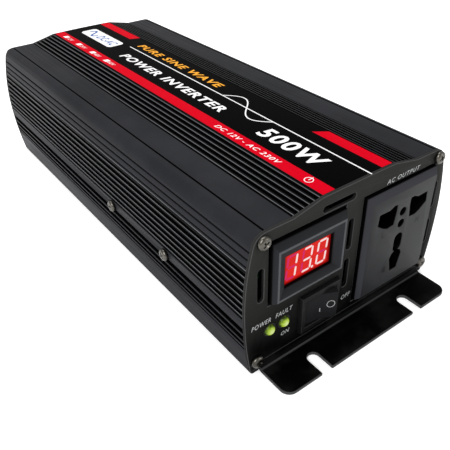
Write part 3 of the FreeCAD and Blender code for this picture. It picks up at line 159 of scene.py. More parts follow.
class Finish(Net):
    """A procedural material on Object coordinates."""

    def __init__(self, name):
        self.material = bpy.data.materials.new(name)
        self.material.use_nodes = True
        super().__init__(self.material.node_tree)
        self.shader = self.tree.nodes["Principled BSDF"]
        self.place = self.node("ShaderNodeTexCoord", output="Object")
        parts = [self.node("ShaderNodeSeparateXYZ", inputs={0: self.place}, output=axis)
                 for axis in range(3)]
        self.x, self.y, self.z = parts

    def stretched(self, x, y, z):
        return self.node("ShaderNodeMapping", inputs={"Vector": self.place, "Scale": (x, y, z)})

    def noise(self, scale, detail=3.0, roughness=0.6, place=None):
        return self.node("ShaderNodeTexNoise", inputs={
            "Vector": place or self.place, "Scale": scale, "Detail": detail, "Roughness": roughness})

    def grain(self, scale, place=None, output="Distance"):
        return self.node("ShaderNodeTexVoronoi", inputs={"Vector": place or self.place, "Scale": scale},
                         output=output)

    def mix(self, factor, first, second):
        """A colour between two, by a mask."""
        first = first if isinstance(first, Value) else (*first, 1)
        second = second if isinstance(second, Value) else (*second, 1)
        return self.node("ShaderNodeMix", {"data_type": "RGBA"}, {0: factor, 6: first, 7: second},
                         output=2)

    def relief(self, height, strength, distance):
        return self.node("ShaderNodeBump", inputs={"Height": height, "Strength": strength,
                                                   "Distance": distance})

    def facing(self):
        """The three components of the surface's own normal."""
        normal = self.node("ShaderNodeTexCoord", output="Normal")
        return [self.node("ShaderNodeSeparateXYZ", inputs={0: normal}, output=axis) for axis in range(3)]

    def set(self, **values):
        for name, value in values.items():
            socket = self.shader.inputs[name.replace("_", " ")]
            if isinstance(value, Value):
                self.tree.links.new(value.socket, socket)
            else:
                socket.default_value = value
        return self.material


# ------------------------------------------------------------------ finishes

# the ribs: their first place, their pitch and how far each side of the crest the painted highlight reaches
RIB_FIRST, RIB_PITCH, RIB_HIGHLIT = 32.45 * MM, 2.93 * MM, 0.24 * MM
TOP_FIRST, TOP_PITCH, TOP_HIGHLIT = 20.0 * MM, 2.42 * MM, 0.2 * MM
# where they run: on the sides, and on the slopes beside the film
SIDE_FROM, SIDE_TOP, RIBS_LOW, RIBS_HIGH = 45.0 * MM, 61.5 * MM, 31.3 * MM, 53.2 * MM
SLOPE_IN, SLOPE_OUT, SLOPE_LOW = 19.0 * MM, 33.2 * MM, 60.0 * MM


def crests(place, first, pitch, highlit):
    """1 along the middle of each rib."""
    return abs((place - first) % pitch - pitch / 2).ramp(pitch / 2 - highlit, pitch / 2 - highlit * 0.4)


def anodised():
    """Black anodised extrusion: die lines along Y, a painted highlight on the rib crests that fades to the
    right, painted shade over the ribbed bands and near black painted shade in the grooves.
    """
    look = Finish("black_anodised")
    lines = look.noise(1.0, 2.0, place=look.stretched(900, 6, 900))
    cloud = look.noise(35, 4.0)
    speck = look.noise(2600, 1.0)
    side = (abs(look.x) > SIDE_FROM) * (look.z < SIDE_TOP)
    crest = crests(look.z, RIB_FIRST, RIB_PITCH, RIB_HIGHLIT)
    ribbed = side * (look.z > RIBS_LOW) * (look.z < RIBS_HIGH)
    top_crest = crests(abs(look.x), TOP_FIRST, TOP_PITCH, TOP_HIGHLIT)
    topped = (abs(look.x) > SLOPE_IN) * (abs(look.x) < SLOPE_OUT) * (look.z > SLOPE_LOW)
    # painted shade: the grooves' floors and walls are painted near black, the deeper the darker
    depth = look.node("ShaderNodeAttribute", {"attribute_name": "sunk"}, output="Fac")
    # painted highlight on the crests, in patches, full at the left and down to 0.4 of it at the right
    highlight_strength = cloud.ramp(0.3, 0.55, 0.75, 1.0) * look.x.ramp(-5 * MM, 20 * MM, 1.0, 0.4)
    highlight_mask = (crest * ribbed + top_crest * topped).clamped() * (1 - depth) * highlight_strength
    flat = look.mix(cloud.ramp(0.35, 0.7), (0.0165, 0.0171, 0.0194), (0.0210, 0.0216, 0.0245))
    sided = look.mix(side * (1 - ribbed), flat, (0.0215, 0.0220, 0.0250))
    # painted shade: the ribbed bands and slopes are painted far darker than the flat faces
    rib_shaded = look.mix((ribbed + topped).clamped(), sided, (0.0024, 0.0025, 0.0028))
    highlit = look.mix(highlight_mask, rib_shaded, (0.125, 0.128, 0.135))
    colour = look.mix(depth, highlit, (0.0008, 0.0008, 0.0009))
    rough = lines.ramp(0.3, 0.7, 0.36, 0.46) + speck.ramp(0.4, 0.6, 0.0, 0.05)
    bump = look.relief(lines * 0.6 + speck * 0.4, 0.25, 0.03 * MM)
    return look.set(Base_Color=colour, Roughness=rough, Normal=bump, Specular_IOR_Level=0.02)


def powder_coat():
    """Satin powder coat: a fine pebble, painted shade that darkens it towards the foot, painted highlights
    on its rounded edges and along the bend, and paler cut edges.
    """
    look = Finish("dark_powder_coat")
    pebble = look.grain(2400)
    cloud = look.noise(60, 3.0)
    # painted shade: near black at the foot, the coat's own colour 56 mm up
    height_shade = look.z.ramp(4 * MM, 56 * MM)
    low = look.mix(height_shade, (0.0003, 0.0003, 0.0003), (0.0200, 0.0204, 0.0190))
    # painted highlight: two pale lines along the bend, at 4.7 mm and 1.7 mm up
    bend_highlight = look.z.near(4.7 * MM, 0.1 * MM, 0.15 * MM).highest(look.z.near(1.7 * MM, 0.08 * MM, 0.12 * MM))
    # painted highlight on the rounded edges
    edge = look.node("ShaderNodeAttribute", {"attribute_name": "rounded"}, output="Fac")
    dust_and_shade = look.mix(cloud.ramp(0.4, 0.7, 0.0, 0.2), low, (0.021, 0.021, 0.020))
    upright = 1 - abs(look.facing()[2])
    flange = (look.z < 1.6 * MM) * (abs(look.y) > 123 * MM)
    cut = upright.ramp(0.5, 0.8) * flange
    bright = (edge * 0.8).highest(bend_highlight * 0.6).highest(cut * 0.85)
    colour = look.mix(bright, dust_and_shade, (0.060, 0.061, 0.061))
    rough = cloud.ramp(0.3, 0.7, 0.42, 0.5) + pebble * 0.1
    return look.set(Base_Color=colour, Roughness=rough, Specular_IOR_Level=0.03,
                    Normal=look.relief(pebble, 0.3, 0.04 * MM))


def moulded(name, colour, lift=0.02, rough=0.5, shine=0.2):
    """Spark-eroded plastic: fine even grain, a faint mottling and a painted highlight on its rounded edges.
    """
    look = Finish(name)
    grain = look.noise(3200, 2.0)
    cloud = look.noise(90, 3.0)
    pale = tuple(channel + lift for channel in colour)
    shade = look.mix(cloud.ramp(0.35, 0.65), colour, pale)
    # painted highlight on the rounded edges
    edge = look.node("ShaderNodeAttribute", {"attribute_name": "rounded"}, output="Fac")
    shade = look.mix(edge * 0.7, shade, tuple(channel * 2.2 + 0.012 for channel in colour))
    return look.set(Base_Color=shade,
                    Roughness=grain.ramp(0.3, 0.7, rough - 0.06, rough + 0.08),
                    Normal=look.relief(grain, 0.35, 0.03 * MM), Specular_IOR_Level=shine)


def rocker_face():
    """Rocker plastic: fine moulded grain, rubbed a little shinier where fingers press."""
    look = Finish("rocker_plastic")
    grain, rubbed = look.noise(3200, 2.0), look.noise(160, 2.0)
    shade = look.mix(grain.ramp(0.2, 0.6), (0.0088, 0.0090, 0.0098), (0.0105, 0.0107, 0.0116))
    rough = grain.ramp(0.3, 0.7, 0.42, 0.52) - rubbed.ramp(0.4, 0.7, 0.0, 0.08)
    return look.set(Base_Color=shade, Roughness=rough, Specular_IOR_Level=0.04,
                    Normal=look.relief(grain, 0.35, 0.03 * MM))


def bezel_plastic():
    """Voltmeter frame: dark, with a painted highlight on the rim all round its front, painted shade by
    facing on its slopes and near black painted shade on its sides.
    """
    look = Finish("bezel_plastic")
    grain = look.noise(3200, 2.0)
    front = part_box("display_bezel")[0].y
    facing_up = look.facing()[2]
    # painted shade by facing: faces turned up are painted darker than faces turned down
    slope = look.mix(facing_up.ramp(-0.4, 0.7), (0.0200, 0.0210, 0.0240), (0.0115, 0.0120, 0.0135))
    # painted highlight: a pale line round the front rim
    rim = look.y.ramp(front + 0.16 * MM, front + 0.04 * MM) * grain.ramp(0.2, 0.6, 0.85, 1.0)
    highlit_and_shaded = look.mix(rim, slope, (0.070, 0.073, 0.078))
    # painted shade: the sides, more than 1.6 mm behind the front, go near black
    side = look.y.ramp(front + 1.6 * MM, front + 2.1 * MM)
    return look.set(Base_Color=look.mix(side, highlit_and_shaded, (0.0006, 0.0006, 0.0006)), Specular_IOR_Level=0.04,
                    Roughness=grain.ramp(0.3, 0.7, 0.42, 0.54), Normal=look.relief(grain, 0.35, 0.03 * MM))


def socket_cover_plastic():
    """Socket cover: grey face with a painted light gradient that pales it to the upper right, a bluish
    painted highlight on the chamfer, and near black painted shade in its wells and on its sides.
    """
    look = Finish("socket_cover_plastic")
    grain = look.noise(3200, 2.0)
    cloud = look.noise(70, 3.0)
    low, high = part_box("socket_faceplate")
    centre = (low + high) / 2
    # painted light: the face goes from dark at the lower left to pale at the upper right
    across = (look.x - low.x) / (high.x - low.x)
    upward = (look.z - low.z) / (high.z - low.z)
    pale = (across * 0.7 + upward * 0.3 + cloud.ramp(0.3, 0.7, -0.05, 0.05)).clamped()
    face = look.mix(pale, (0.0150, 0.0155, 0.0172), (0.0630, 0.0638, 0.0640))
    # painted highlight: the chamfer is bluish and paler, less so towards the top
    chamfer = look.mix(upward.clamped(), (0.0400, 0.0410, 0.0480), (0.0290, 0.0295, 0.0345))
    flat = look.y.ramp(low.y + 0.22 * MM, low.y + 0.1 * MM)
    plain = look.mix(flat, chamfer, face)
    # painted shade: the socket wells and the sides behind the front go near black
    inside = look.x.near(centre.x, 18.4 * MM, 0.1 * MM) * look.z.near(33.6 * MM, 22.4 * MM, 0.1 * MM)
    deep = look.y.ramp(low.y + 0.15 * MM, low.y + 0.4 * MM) * inside
    side = look.y.ramp(low.y + 1.8 * MM, low.y + 2.3 * MM)
    return look.set(Base_Color=look.mix(deep.highest(side), plain, (0.0004, 0.0004, 0.0005)),
                    Specular_IOR_Level=0.04, Roughness=grain.ramp(0.3, 0.7, 0.42, 0.54),
                    Normal=look.relief(grain, 0.35, 0.03 * MM))


def plated(name, colour=(0.72, 0.71, 0.68), rough=0.2):
    """Bright plating with turning marks and a little tarnish."""
    look = Finish(name)
    turned = look.noise(1800, 2.0)
    tarnish = look.noise(220, 4.0)
    dull = tuple(channel * 0.55 for channel in colour)
    return look.set(Base_Color=look.mix(tarnish.ramp(0.5, 0.8), colour, dull), Metallic=1.0,
                    Roughness=tarnish.ramp(0.3, 0.8, rough, rough + 0.22) + turned * 0.05,
                    Normal=look.relief(turned, 0.2, 0.02 * MM))


def film():
    """Glossy printed film: black with red stripes; the right stripe has slanted ends."""
    look = Finish("label_film")
    left = look.x.near(-15.45 * MM, 2.95 * MM, 0.04 * MM) * (look.x < 0.0)
    across = look.x - 12.5 * MM
    rear_end = look.y > (79.0 * MM - across * 0.35)
    front_end = look.y < (-80.0 * MM - across * 0.75)
    right = across.ramp(0.0, 0.04 * MM) * rear_end.highest(front_end)
    ink = look.noise(900, 2.0)
    red = look.mix(ink.ramp(0.35, 0.7), (0.5, 0.0, 0.008), (0.55, 0.0, 0.011))
    colour = look.mix((left + right).clamped(), (0.0, 0.0, 0.0), red)
    wave = look.noise(40, 2.0)
    return look.set(Base_Color=colour, Roughness=ink.ramp(0.3, 0.7, 0.4, 0.48),
                    Specular_IOR_Level=0.01, Normal=look.relief(wave, 0.12, 0.15 * MM))


def ink(name, colour, glow=0.0):
    """Screen-printed ink, slightly uneven; or a glowing bar: the own light of a lit segment, or painted
    light on an unlit one.
    """
    look = Finish(name)
    blot = look.noise(1500, 3.0)
    thin = tuple(channel * 0.86 for channel in colour)
    shade = look.mix(blot.ramp(0.35, 0.75), colour, thin)
    if glow:
        look.set(Emission_Color=shade, Emission_Strength=glow)
    return look.set(Base_Color=(0.01, 0.0, 0.0, 1) if glow else shade, Specular_IOR_Level=0.1,
                    Roughness=blot.ramp(0.3, 0.7, 0.38, 0.5))


def red_filter():
    """Red display filter, lit from behind, with painted shade that darkens it towards its edges."""
    look = Finish("red_filter")
    low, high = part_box("display_window")
    across = look.x.ramp(low.x, low.x + 2.5 * MM) * look.x.ramp(high.x, high.x - 2.5 * MM)
    upward = look.z.ramp(low.z, low.z + 1.8 * MM) * look.z.ramp(high.z, high.z - 1.8 * MM)
    cloud = look.noise(260, 2.0)
    lit = look.mix((across * upward * cloud.ramp(0.2, 0.7, 0.8, 1.0)).clamped(),
                   (0.2, 0.002, 0.002), (0.76, 0.015, 0.009))
    return look.set(Base_Color=(0.01, 0.0, 0.0, 1), Emission_Color=lit, Emission_Strength=1.0,
                    Roughness=cloud.ramp(0.3, 0.7, 0.2, 0.3), Specular_IOR_Level=0.03)


def lamp_glass():
    """Lit tinted lamp: pale in the middle of its dome, greener at the rim, dark behind the panel."""
    look = Finish("lamp_glass")
    power, fault = middle("power_led"), middle("fault_led")
    centre = (look.x > (power.x + fault.x) / 2) * (fault.x - power.x) + power.x
    across, upward = abs(look.x - centre), abs(look.z - power.z)
    away = ((across ** 2.0 + upward ** 2.0) ** 0.5) / (2.8 * MM)
    behind = look.y.ramp(FRONT, FRONT + PANEL_THICK)
    flaw = look.noise(700, 2.0)
    shade = look.node("ShaderNodeValToRGB", {"stops": [
        (0.0, (0.64, 0.72, 0.42)), (0.3, (0.54, 0.66, 0.2)), (0.58, (0.34, 0.48, 0.03)),
        (0.74, (0.1, 0.17, 0.008)), (0.84, (0.004, 0.006, 0.003))]},
        {0: away + behind + flaw.ramp(0.3, 0.7, -0.07, 0.07)})
    return look.set(Base_Color=(0.02, 0.03, 0.003, 1), Emission_Color=shade, Emission_Strength=1.0,
                    Roughness=flaw.ramp(0.3, 0.7, 0.14, 0.22), Specular_IOR_Level=0.15)


def circuit():
    """Green solder mask over copper tracks."""
    look = Finish("circuit_green")
    track = look.grain(260, output="Color")
    tone = look.node("ShaderNodeSeparateColor", inputs={0: track}, output=0)
    speck = look.noise(900, 2.0)
    colour = look.mix(tone > 0.62, (0.008, 0.11, 0.035), (0.02, 0.2, 0.06))
    return look.set(Base_Color=look.mix(tone > 0.95, colour, (0.6, 0.58, 0.52)),
                    Roughness=speck.ramp(0.3, 0.7, 0.25, 0.4),
                    Normal=look.relief(tone, 0.4, 0.05 * MM))


def wound(name, colour, pitch):
    """Wire or tape wound in close turns, with painted shade in the grooves between them."""
    look = Finish(name)
    turn = (look.z % pitch) / pitch
    thread = look.noise(1100, 2.0)
    # painted shade in the groove between turns
    groove = abs(turn - 0.5).ramp(0.36, 0.5)
    dark = tuple(channel * 0.35 for channel in colour)
    return look.set(Base_Color=look.mix(groove * thread.ramp(0.3, 0.6, 0.6, 1.0), colour, dark),
                    Roughness=thread.ramp(0.3, 0.7, 0.3, 0.45), Metallic=0.3,
                    Normal=look.relief(1 - groove, 0.6, 0.1 * MM))


CASE_FINISH = anodised()
PANEL_FINISH = powder_coat()
BEZEL = bezel_plastic()
SOCKET = socket_cover_plastic()
SOCKET_DEEP = moulded("socket_well_plastic", (0.0015, 0.0015, 0.0016), 0.0006, 0.5, shine=0.04)
SWITCH = moulded("switch_plastic", (0.0045, 0.0045, 0.005), 0.0015, 0.4, shine=0.08)
ROCKER = rocker_face()
FAN = moulded("fan_plastic", (0.012, 0.012, 0.013), 0.006, 0.42)
BLACK_CAP = moulded("black_cap", (0.006, 0.006, 0.006), 0.003, 0.34, 0.12)
RED_CAP = moulded("red_cap", (0.34, 0.005, 0.005), 0.006, 0.34)
NYLON = moulded("white_nylon", (0.72, 0.72, 0.68), 0.04, 0.45)
FERRITE = moulded("ferrite", (0.03, 0.028, 0.03), 0.012, 0.6)
SHEET_FINISH = moulded("insulating_film", (0.5, 0.42, 0.22), 0.05, 0.3)
SLEEVE = moulded("capacitor_sleeve", (0.012, 0.018, 0.07), 0.01, 0.3)
FUSE = moulded("fuse_plastic", (0.75, 0.3, 0.02), 0.03, 0.3)
SCREW_FINISH = plated("screw_plating", (0.1, 0.094, 0.082), 0.2)
NICKEL = plated("nickel_plating", (0.7, 0.68, 0.62), 0.24)
WIRE = plated("guard_plating", (0.34, 0.34, 0.35), 0.2)
BRASS = plated("contact_brass", (0.72, 0.52, 0.2), 0.26)
BAR = plated("sawn_aluminium", (0.68, 0.69, 0.7), 0.36)
COPPER = wound("enamelled_copper", (0.55, 0.2, 0.06), 0.8 * MM)
TAPE = wound("coil_tape", (0.72, 0.5, 0.05), 6.0 * MM)
CIRCUIT = circuit()
FILTER = red_filter()
LAMP = lamp_glass()
FILM = film()
WHITE_INK = ink("white_ink", (0.82, 0.82, 0.82))
ORANGE_INK = ink("orange_ink", (0.86, 0.36, 0.015))
BLUE_INK = ink("blue_ink", (0.01, 0.09, 0.34))
BLACK_INK = ink("black_ink", (0.006, 0.006, 0.007))
LEGEND_INK = ink("legend_ink", (0.4, 0.41, 0.41))
LIT = ink("lit_segment", (1.0, 0.78, 0.76), 0.95)
# painted light: the unlit bars glow dim red-magenta though they are switched off
UNLIT = ink("unlit_segment", (0.62, 0.006, 0.12), 1.0)

FINISHES = {
    CASE_FINISH: ["case_top", "case_base"],
    PANEL_FINISH: ["front_panel", "rear_panel"],
    BEZEL: ["display_bezel"],
    SOCKET: ["socket_faceplate"],
    SOCKET_DEEP: ["socket_body"],
    ROCKER: ["switch_rocker"],
    SWITCH: ["switch_housing", "alarm_buzzer", "transistors_left", "transistors_right"],
    FAN: ["fan_frame", "fan_rotor"],
    BLACK_CAP: ["terminal_insulator_black", "terminal_knob_black", "dc_lead_black", "ac_leads"],
    RED_CAP: ["terminal_insulator_red", "terminal_knob_red", "dc_lead_red"],
    NYLON: ["board_standoffs"],
    FERRITE: ["front_transformer_core", "rear_transformer_core", "filter_choke_core"],
    SHEET_FINISH: ["insulation_sheet"],
    SLEEVE: ["bus_capacitor", "input_capacitors"],
    FUSE: ["fuses"],
    SCREW_FINISH: ["front_panel_screws", "rear_panel_screws", "side_screws_left", "side_screws_right",
                   "fan_screws", "board_screws"],
    NICKEL: ["terminal_stud_red", "terminal_stud_black", "clamp_washer_red", "clamp_washer_black",
             "terminal_nuts"],
    WIRE: ["fan_guard"],
    BRASS: ["contact_live", "contact_neutral", "contact_earth", "switch_terminals"],
    BAR: ["heat_bar_left", "heat_bar_right"],
    COPPER: ["filter_choke_winding"],
    TAPE: ["front_transformer_coil", "rear_transformer_coil"],
    CIRCUIT: ["main_board", "control_board", "display_board"],
    FILTER: ["display_window", "display_module"],
    LAMP: ["power_led", "fault_led"],
    FILM: ["top_label"],
}
BODY_OF = {node: body for body, members in frame["record"]["behaviour"]["bodies"].items()
           for node in members}


def coat(piece, material):
    piece.data.materials.clear()
    piece.data.materials.append(material)


for material, members in FINISHES.items():
    for node in members:
        coat(nodes[node], material)


# ------------------------------------------------------------------ making pieces

def add_piece(name, mesh, material, body):
    piece = put(name, mesh)
    coat(piece, material)
    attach(piece, body)
    return piece


def smooth(mesh, degrees=32):
    mesh.shade_smooth()
    mesh.set_sharp_from_angle(angle=radians(degrees))


def stand_in(node, name, width, mark=None, degrees=38):
    """A copy of a model node with its edges rounded; the attribute rounded is 1 on them, where some
    finishes paint a highlight.
    """
    mesh = nodes[node].data.copy()
    work = bmesh.new()
    work.from_mesh(mesh)
    bmesh.ops.remove_doubles(work, verts=work.verts, dist=MERGE)
    bmesh.ops.dissolve_limit(work, angle_limit=radians(0.8), verts=work.verts, edges=work.edges)
    work.to_mesh(mesh)
    work.free()
    draft = put(name + "_draft", mesh)
    bevel = draft.modifiers.new("edges", "BEVEL")
    bevel.width, bevel.segments, bevel.limit_method = width, 2, "ANGLE"
    bevel.angle_limit, bevel.use_clamp_overlap = radians(degrees), False
    bevel.loop_slide, bevel.material = False, 1
    material = nodes[node].data.materials[0]
    mesh.materials.append(material)
    solid = baked(draft)
    bpy.data.objects.remove(draft)
    low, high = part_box(node)
    for vertex in solid.vertices:
        vertex.co = [min(max(vertex.co[axis], low[axis]), high[axis]) for axis in range(3)]
    smooth(solid)
    face_attribute(solid, "rounded", lambda face: float(face.material_index == 1))
    for face in solid.polygons:
        face.material_index = 0
    piece = add_piece(name, solid, material, BODY_OF[node])
    if mark:
        mark(piece.data)
    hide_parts(node)
    return piece


def face_attribute(mesh, name, rule):
    """A number for each face, from a rule on the face."""
    attribute = mesh.attributes.new(name, "FLOAT", "FACE")
    for face in mesh.polygons:
        attribute.data[face.index].value = rule(face)


def mark_grooves(mesh):
    """Marks the floors and walls of the grooves between the ribs, and the crease under the shoulder, from 0
    to 1 by depth, for the finish's painted shade.
    """
    def rule(face):
        x, z = abs(face.center.x), face.center.z
        if z < SIDE_TOP and x > 40 * MM:
            return min(max((side_surface(z) - x) / GROOVE_SHADE - 0.3, 0.0), 1.0)
        if z > SLOPE_LOW and 18.3 * MM < x < 34.5 * MM:
            return min(max((slope_surface(x) - z) / GROOVE_SHADE - 0.3, 0.0), 1.0)
        if abs(x - CORNER_LINE) < 0.5 * MM and z > SLOPE_LOW:
            return min(max((SHOULDER - 0.15 * MM - z) / (0.2 * MM), 0.0), 1.0)
        return 0.0
    face_attribute(mesh, "sunk", rule)


CASE_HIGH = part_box("case_top")[1]
BULGE_HEIGHT, UPPER_RADIUS, LOWER_RADIUS = 33.0 * MM, 115.0 * MM, 183.0 * MM
SHOULDER, SHOULDER_EDGE = CASE_HIGH.z - 3.2 * MM, 33.2 * MM
CORNER_LINE = 45.6 * MM
GROOVE_SHADE = 0.5 * MM                              # depth over which the painted shade in a groove reaches black


def side_surface(z):
    radius = UPPER_RADIUS if z > BULGE_HEIGHT else LOWER_RADIUS
    return CASE_HIGH.x - radius + sqrt(radius ** 2 - (z - BULGE_HEIGHT) ** 2)


def slope_surface(x):
    share = min(max((SHOULDER_EDGE - x) / (SHOULDER_EDGE - CROWN_HALF), 0.0), 1.0)
    return SHOULDER + share * (CASE_HIGH.z - CROWN_FALL - SHOULDER)


for node, name, edge_width, mark in (
        ("case_top", "upper_shell", 0.12, mark_grooves), ("case_base", "lower_shell", 0.12, mark_grooves),
        ("front_panel", "front_plate", 0.22, None), ("rear_panel", "rear_plate", 0.22, None),
        ("display_bezel", "voltmeter_bezel", 0.14, None), ("socket_faceplate", "socket_cover", 0.16, None),
        ("switch_housing", "switch_frame", 0.16, None), ("switch_rocker", "rocker_cap", 0.18, None),
        ("fan_frame", "fan_housing", 0.2, None)):
    stand_in(node, name, edge_width * MM, mark)


# ------------------------------------------------------------------ screws

def join_rings(work, rings, sides):
    for upper, lower in zip(rings, rings[1:]):
        for k in range(sides):
            corners = [upper[k % len(upper)], lower[k % len(lower)], lower[(k + 1) % len(lower)],
                       upper[(k + 1) % len(upper)]]
            work.faces.new(list(dict.fromkeys(corners)))
    bmesh.ops.recalc_face_normals(work, faces=work.faces)


def screw_mesh(radius, height, shank, length):
    """Pan head with a tapered cross recess, and a threaded shank; it points along +Z."""
    work = bmesh.new()
    rings = []
    profile = [(0.0, height)]
    for step in range(7):
        angle = pi / 2 * step / 6
        profile.append((radius * (0.55 + 0.45 * sin(angle)), height * (0.42 + 0.56 * cos(angle))))
    profile += [(radius, 0.1 * height), (radius * 0.96, 0.0), (shank, 0.0)]
    pitch = shank * 0.42
    turns = int(length / pitch)
    for turn in range(turns):
        depth = -turn * pitch
        profile += [(shank, depth - 0.25 * pitch), (shank * 0.84, depth - 0.75 * pitch)]
    profile += [(shank * 0.5, -length), (0.0, -length)]
    sides = 28
    for distance, level in profile:
        ring = [work.verts.new((distance * cos(2 * pi * k / sides), distance * sin(2 * pi * k / sides),
                                level)) for k in range(sides if distance else 1)]
        rings.append(ring)
    join_rings(work, rings, sides)
    mesh = bpy.data.meshes.new("screw")
    work.to_mesh(mesh)
    work.free()
    body = put("screw_blank", mesh)
    cutter_mesh = bpy.data.meshes.new("cross")
    cross = bmesh.new()
    for turn in (0, 1):
        long, wide, deep = radius * 0.62, radius * 0.15, height * 0.75
        block = bmesh.ops.create_cube(cross, size=1.0)["verts"]
        for vertex in block:
            share = 1.0 if vertex.co.z > 0 else 0.45
            across = Vector((vertex.co.x * 2 * long * share, vertex.co.y * 2 * wide * share,
                             height - deep + (vertex.co.z + 0.5) * (deep + 0.3 * height)))
            vertex.co = Matrix.Rotation(turn * pi / 2, 3, "Z") @ across
    cross.to_mesh(cutter_mesh)
    cross.free()
    cutter = put("cross_cutter", cutter_mesh)
    cut = body.modifiers.new("recess", "BOOLEAN")
    cut.object, cut.operation, cut.solver, cut.use_self = cutter, "DIFFERENCE", "EXACT", True
    shaped = baked(body)
    for item in (body, cutter):
        bpy.data.objects.remove(item)
    smooth(shaped, 40)
    return shaped


def new_tree(name, inputs):
    """A Geometry Nodes tree with named inputs, and those inputs as values."""
    tree = bpy.data.node_groups.new(name, "GeometryNodeTree")
    for title, kind in inputs:
        tree.interface.new_socket(title, in_out="INPUT", socket_type=kind)
    tree.interface.new_socket("Result", in_out="OUTPUT", socket_type="NodeSocketGeometry")
    net = Net(tree)
    entry = tree.nodes.new("NodeGroupInput")
    return net, [Value(net, entry.outputs[k]) for k in range(len(inputs))]


def end_tree(net, result, material):
    """Ends a tree in plain, coated geometry."""
    real = net.node("GeometryNodeRealizeInstances", inputs={0: result})
    coated = net.node("GeometryNodeSetMaterial", inputs={0: real, "Material": material})
    net.tree.links.new(coated.socket, net.tree.nodes.new("NodeGroupOutput").inputs[0])
    return net.tree


def grown(tree, mesh, values):
    """What a tree makes from a mesh, as a plain mesh."""
    holder = put("holder", mesh)
    modifier = holder.modifiers.new("grow", "NODES")
    modifier.node_group = tree
    sockets = {item.name: item.identifier for item in tree.interface.items_tree}
    for title, value in values.items():
        modifier[sockets[title]] = value
    result = baked(holder)
    bpy.data.objects.remove(holder)
    return result


def scatter_tree(material):
    """Geometry Nodes: one copy of a shape at every point, turned as a whole and each on its own."""
    net, (points, shape, turn) = new_tree("scatter_shape", [
        ("Points", "NodeSocketGeometry"), ("Shape", "NodeSocketObject"), ("Turn", "NodeSocketRotation")])
    source = net.node("GeometryNodeObjectInfo", {}, {"Object": shape}, output="Geometry")
    spin = net.node("FunctionNodeRandomValue", {"data_type": "FLOAT"}, {2: 0.0, 3: pi, "Seed": 4}, output=1)
    own = net.node("ShaderNodeCombineXYZ", inputs={2: spin})
    own_turn = net.node("FunctionNodeEulerToRotation", inputs={0: own})
    whole = net.node("FunctionNodeRotateRotation", {"rotation_space": "LOCAL"}, {0: turn, 1: own_turn})
    copies = net.node("GeometryNodeInstanceOnPoints", inputs={"Points": points, "Instance": source,
                                                              "Rotation": whole})
    return end_tree(net, copies, material)


SCREW_TREE = scatter_tree(SCREW_FINISH)
HEAD_RADIUS, HEAD_HEIGHT, SHANK_RADIUS = 2.78 * MM, 1.95 * MM, 1.42 * MM
MODEL_HEAD = 2.0 * MM                                # height of the model's screw heads
SCREW_REACH = 7 * MM                                 # points nearer than this are one screw's


def screws(node, name, direction, length):
    """Screws where the model has them, standing for its node."""
    centres = seats([vertex.co for vertex in nodes[node].data.vertices], direction)
    shape = put(name + "_shape", screw_mesh(HEAD_RADIUS, HEAD_HEIGHT, SHANK_RADIUS, length))
    cloud = bpy.data.meshes.new(name + "_places")
    cloud.from_pydata([tuple(point) for point in centres], [], [])
    turn = Vector((0, 0, 1)).rotation_difference(direction).to_euler()
    result = grown(SCREW_TREE, cloud, {"Shape": shape, "Turn": turn})
    bpy.data.objects.remove(shape)
    piece = add_piece(name, result, SCREW_FINISH, BODY_OF[node])
    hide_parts(node)
    return piece


def seats(points, direction):
    """The seat of each head: the middle of every separate group of points, at the head's foot."""
    groups = []
    for point in points:
        flat = point - direction * point.dot(direction)
        for group in groups:
            if (group[0] - flat).length < SCREW_REACH:
                group.append(flat)
                break
        else:
            groups.append([flat])
    highest = max(point.dot(direction) for point in points)
    found = []
    for group in groups:
        low = Vector([min(point[axis] for point in group) for axis in range(3)])
        high = Vector([max(point[axis] for point in group) for axis in range(3)])
        found.append((low + high) / 2 + direction * (highest - MODEL_HEAD))
    return found


for node, name, direction, reach in (
        ("front_panel_screws", "front_screws", AHEAD, 7.9),
        ("rear_panel_screws", "rear_screws", BEHIND, 7.9),
        ("side_screws_left", "left_side_screws", LEFTWARD, 9.4),
        ("side_screws_right", "right_side_screws", RIGHTWARD, 9.4),
        ("fan_screws", "fan_fixing_screws", BEHIND, 13.9),
        ("board_screws", "board_fixing_screws", UPWARD, 5.9)):
    screws(node, name, direction, reach * MM)


# ------------------------------------------------------------------ terminals and fan guard

def turned_mesh(name, profile, centre, sides=96, lobes=12, depth=0.6 * MM):
    """Turned round a line along Y: profile gives radius, place and how deep the flutes are."""
    work = bmesh.new()
    rings = []
    for radius, along, share in profile:
        ring_points = []
        for k in range(sides if radius else 1):
            angle = 2 * pi * k / sides
            reach = radius - depth * share * max(0.0, cos(lobes * angle)) ** 0.8
            place = Vector((centre.x + reach * cos(angle), along, centre.z + reach * sin(angle)))
            ring_points.append(work.verts.new(place))
        rings.append(ring_points)
    join_rings(work, rings, sides)
    mesh = bpy.data.meshes.new(name)
    work.to_mesh(mesh)
    work.free()
    smooth(mesh, 36)
    return mesh


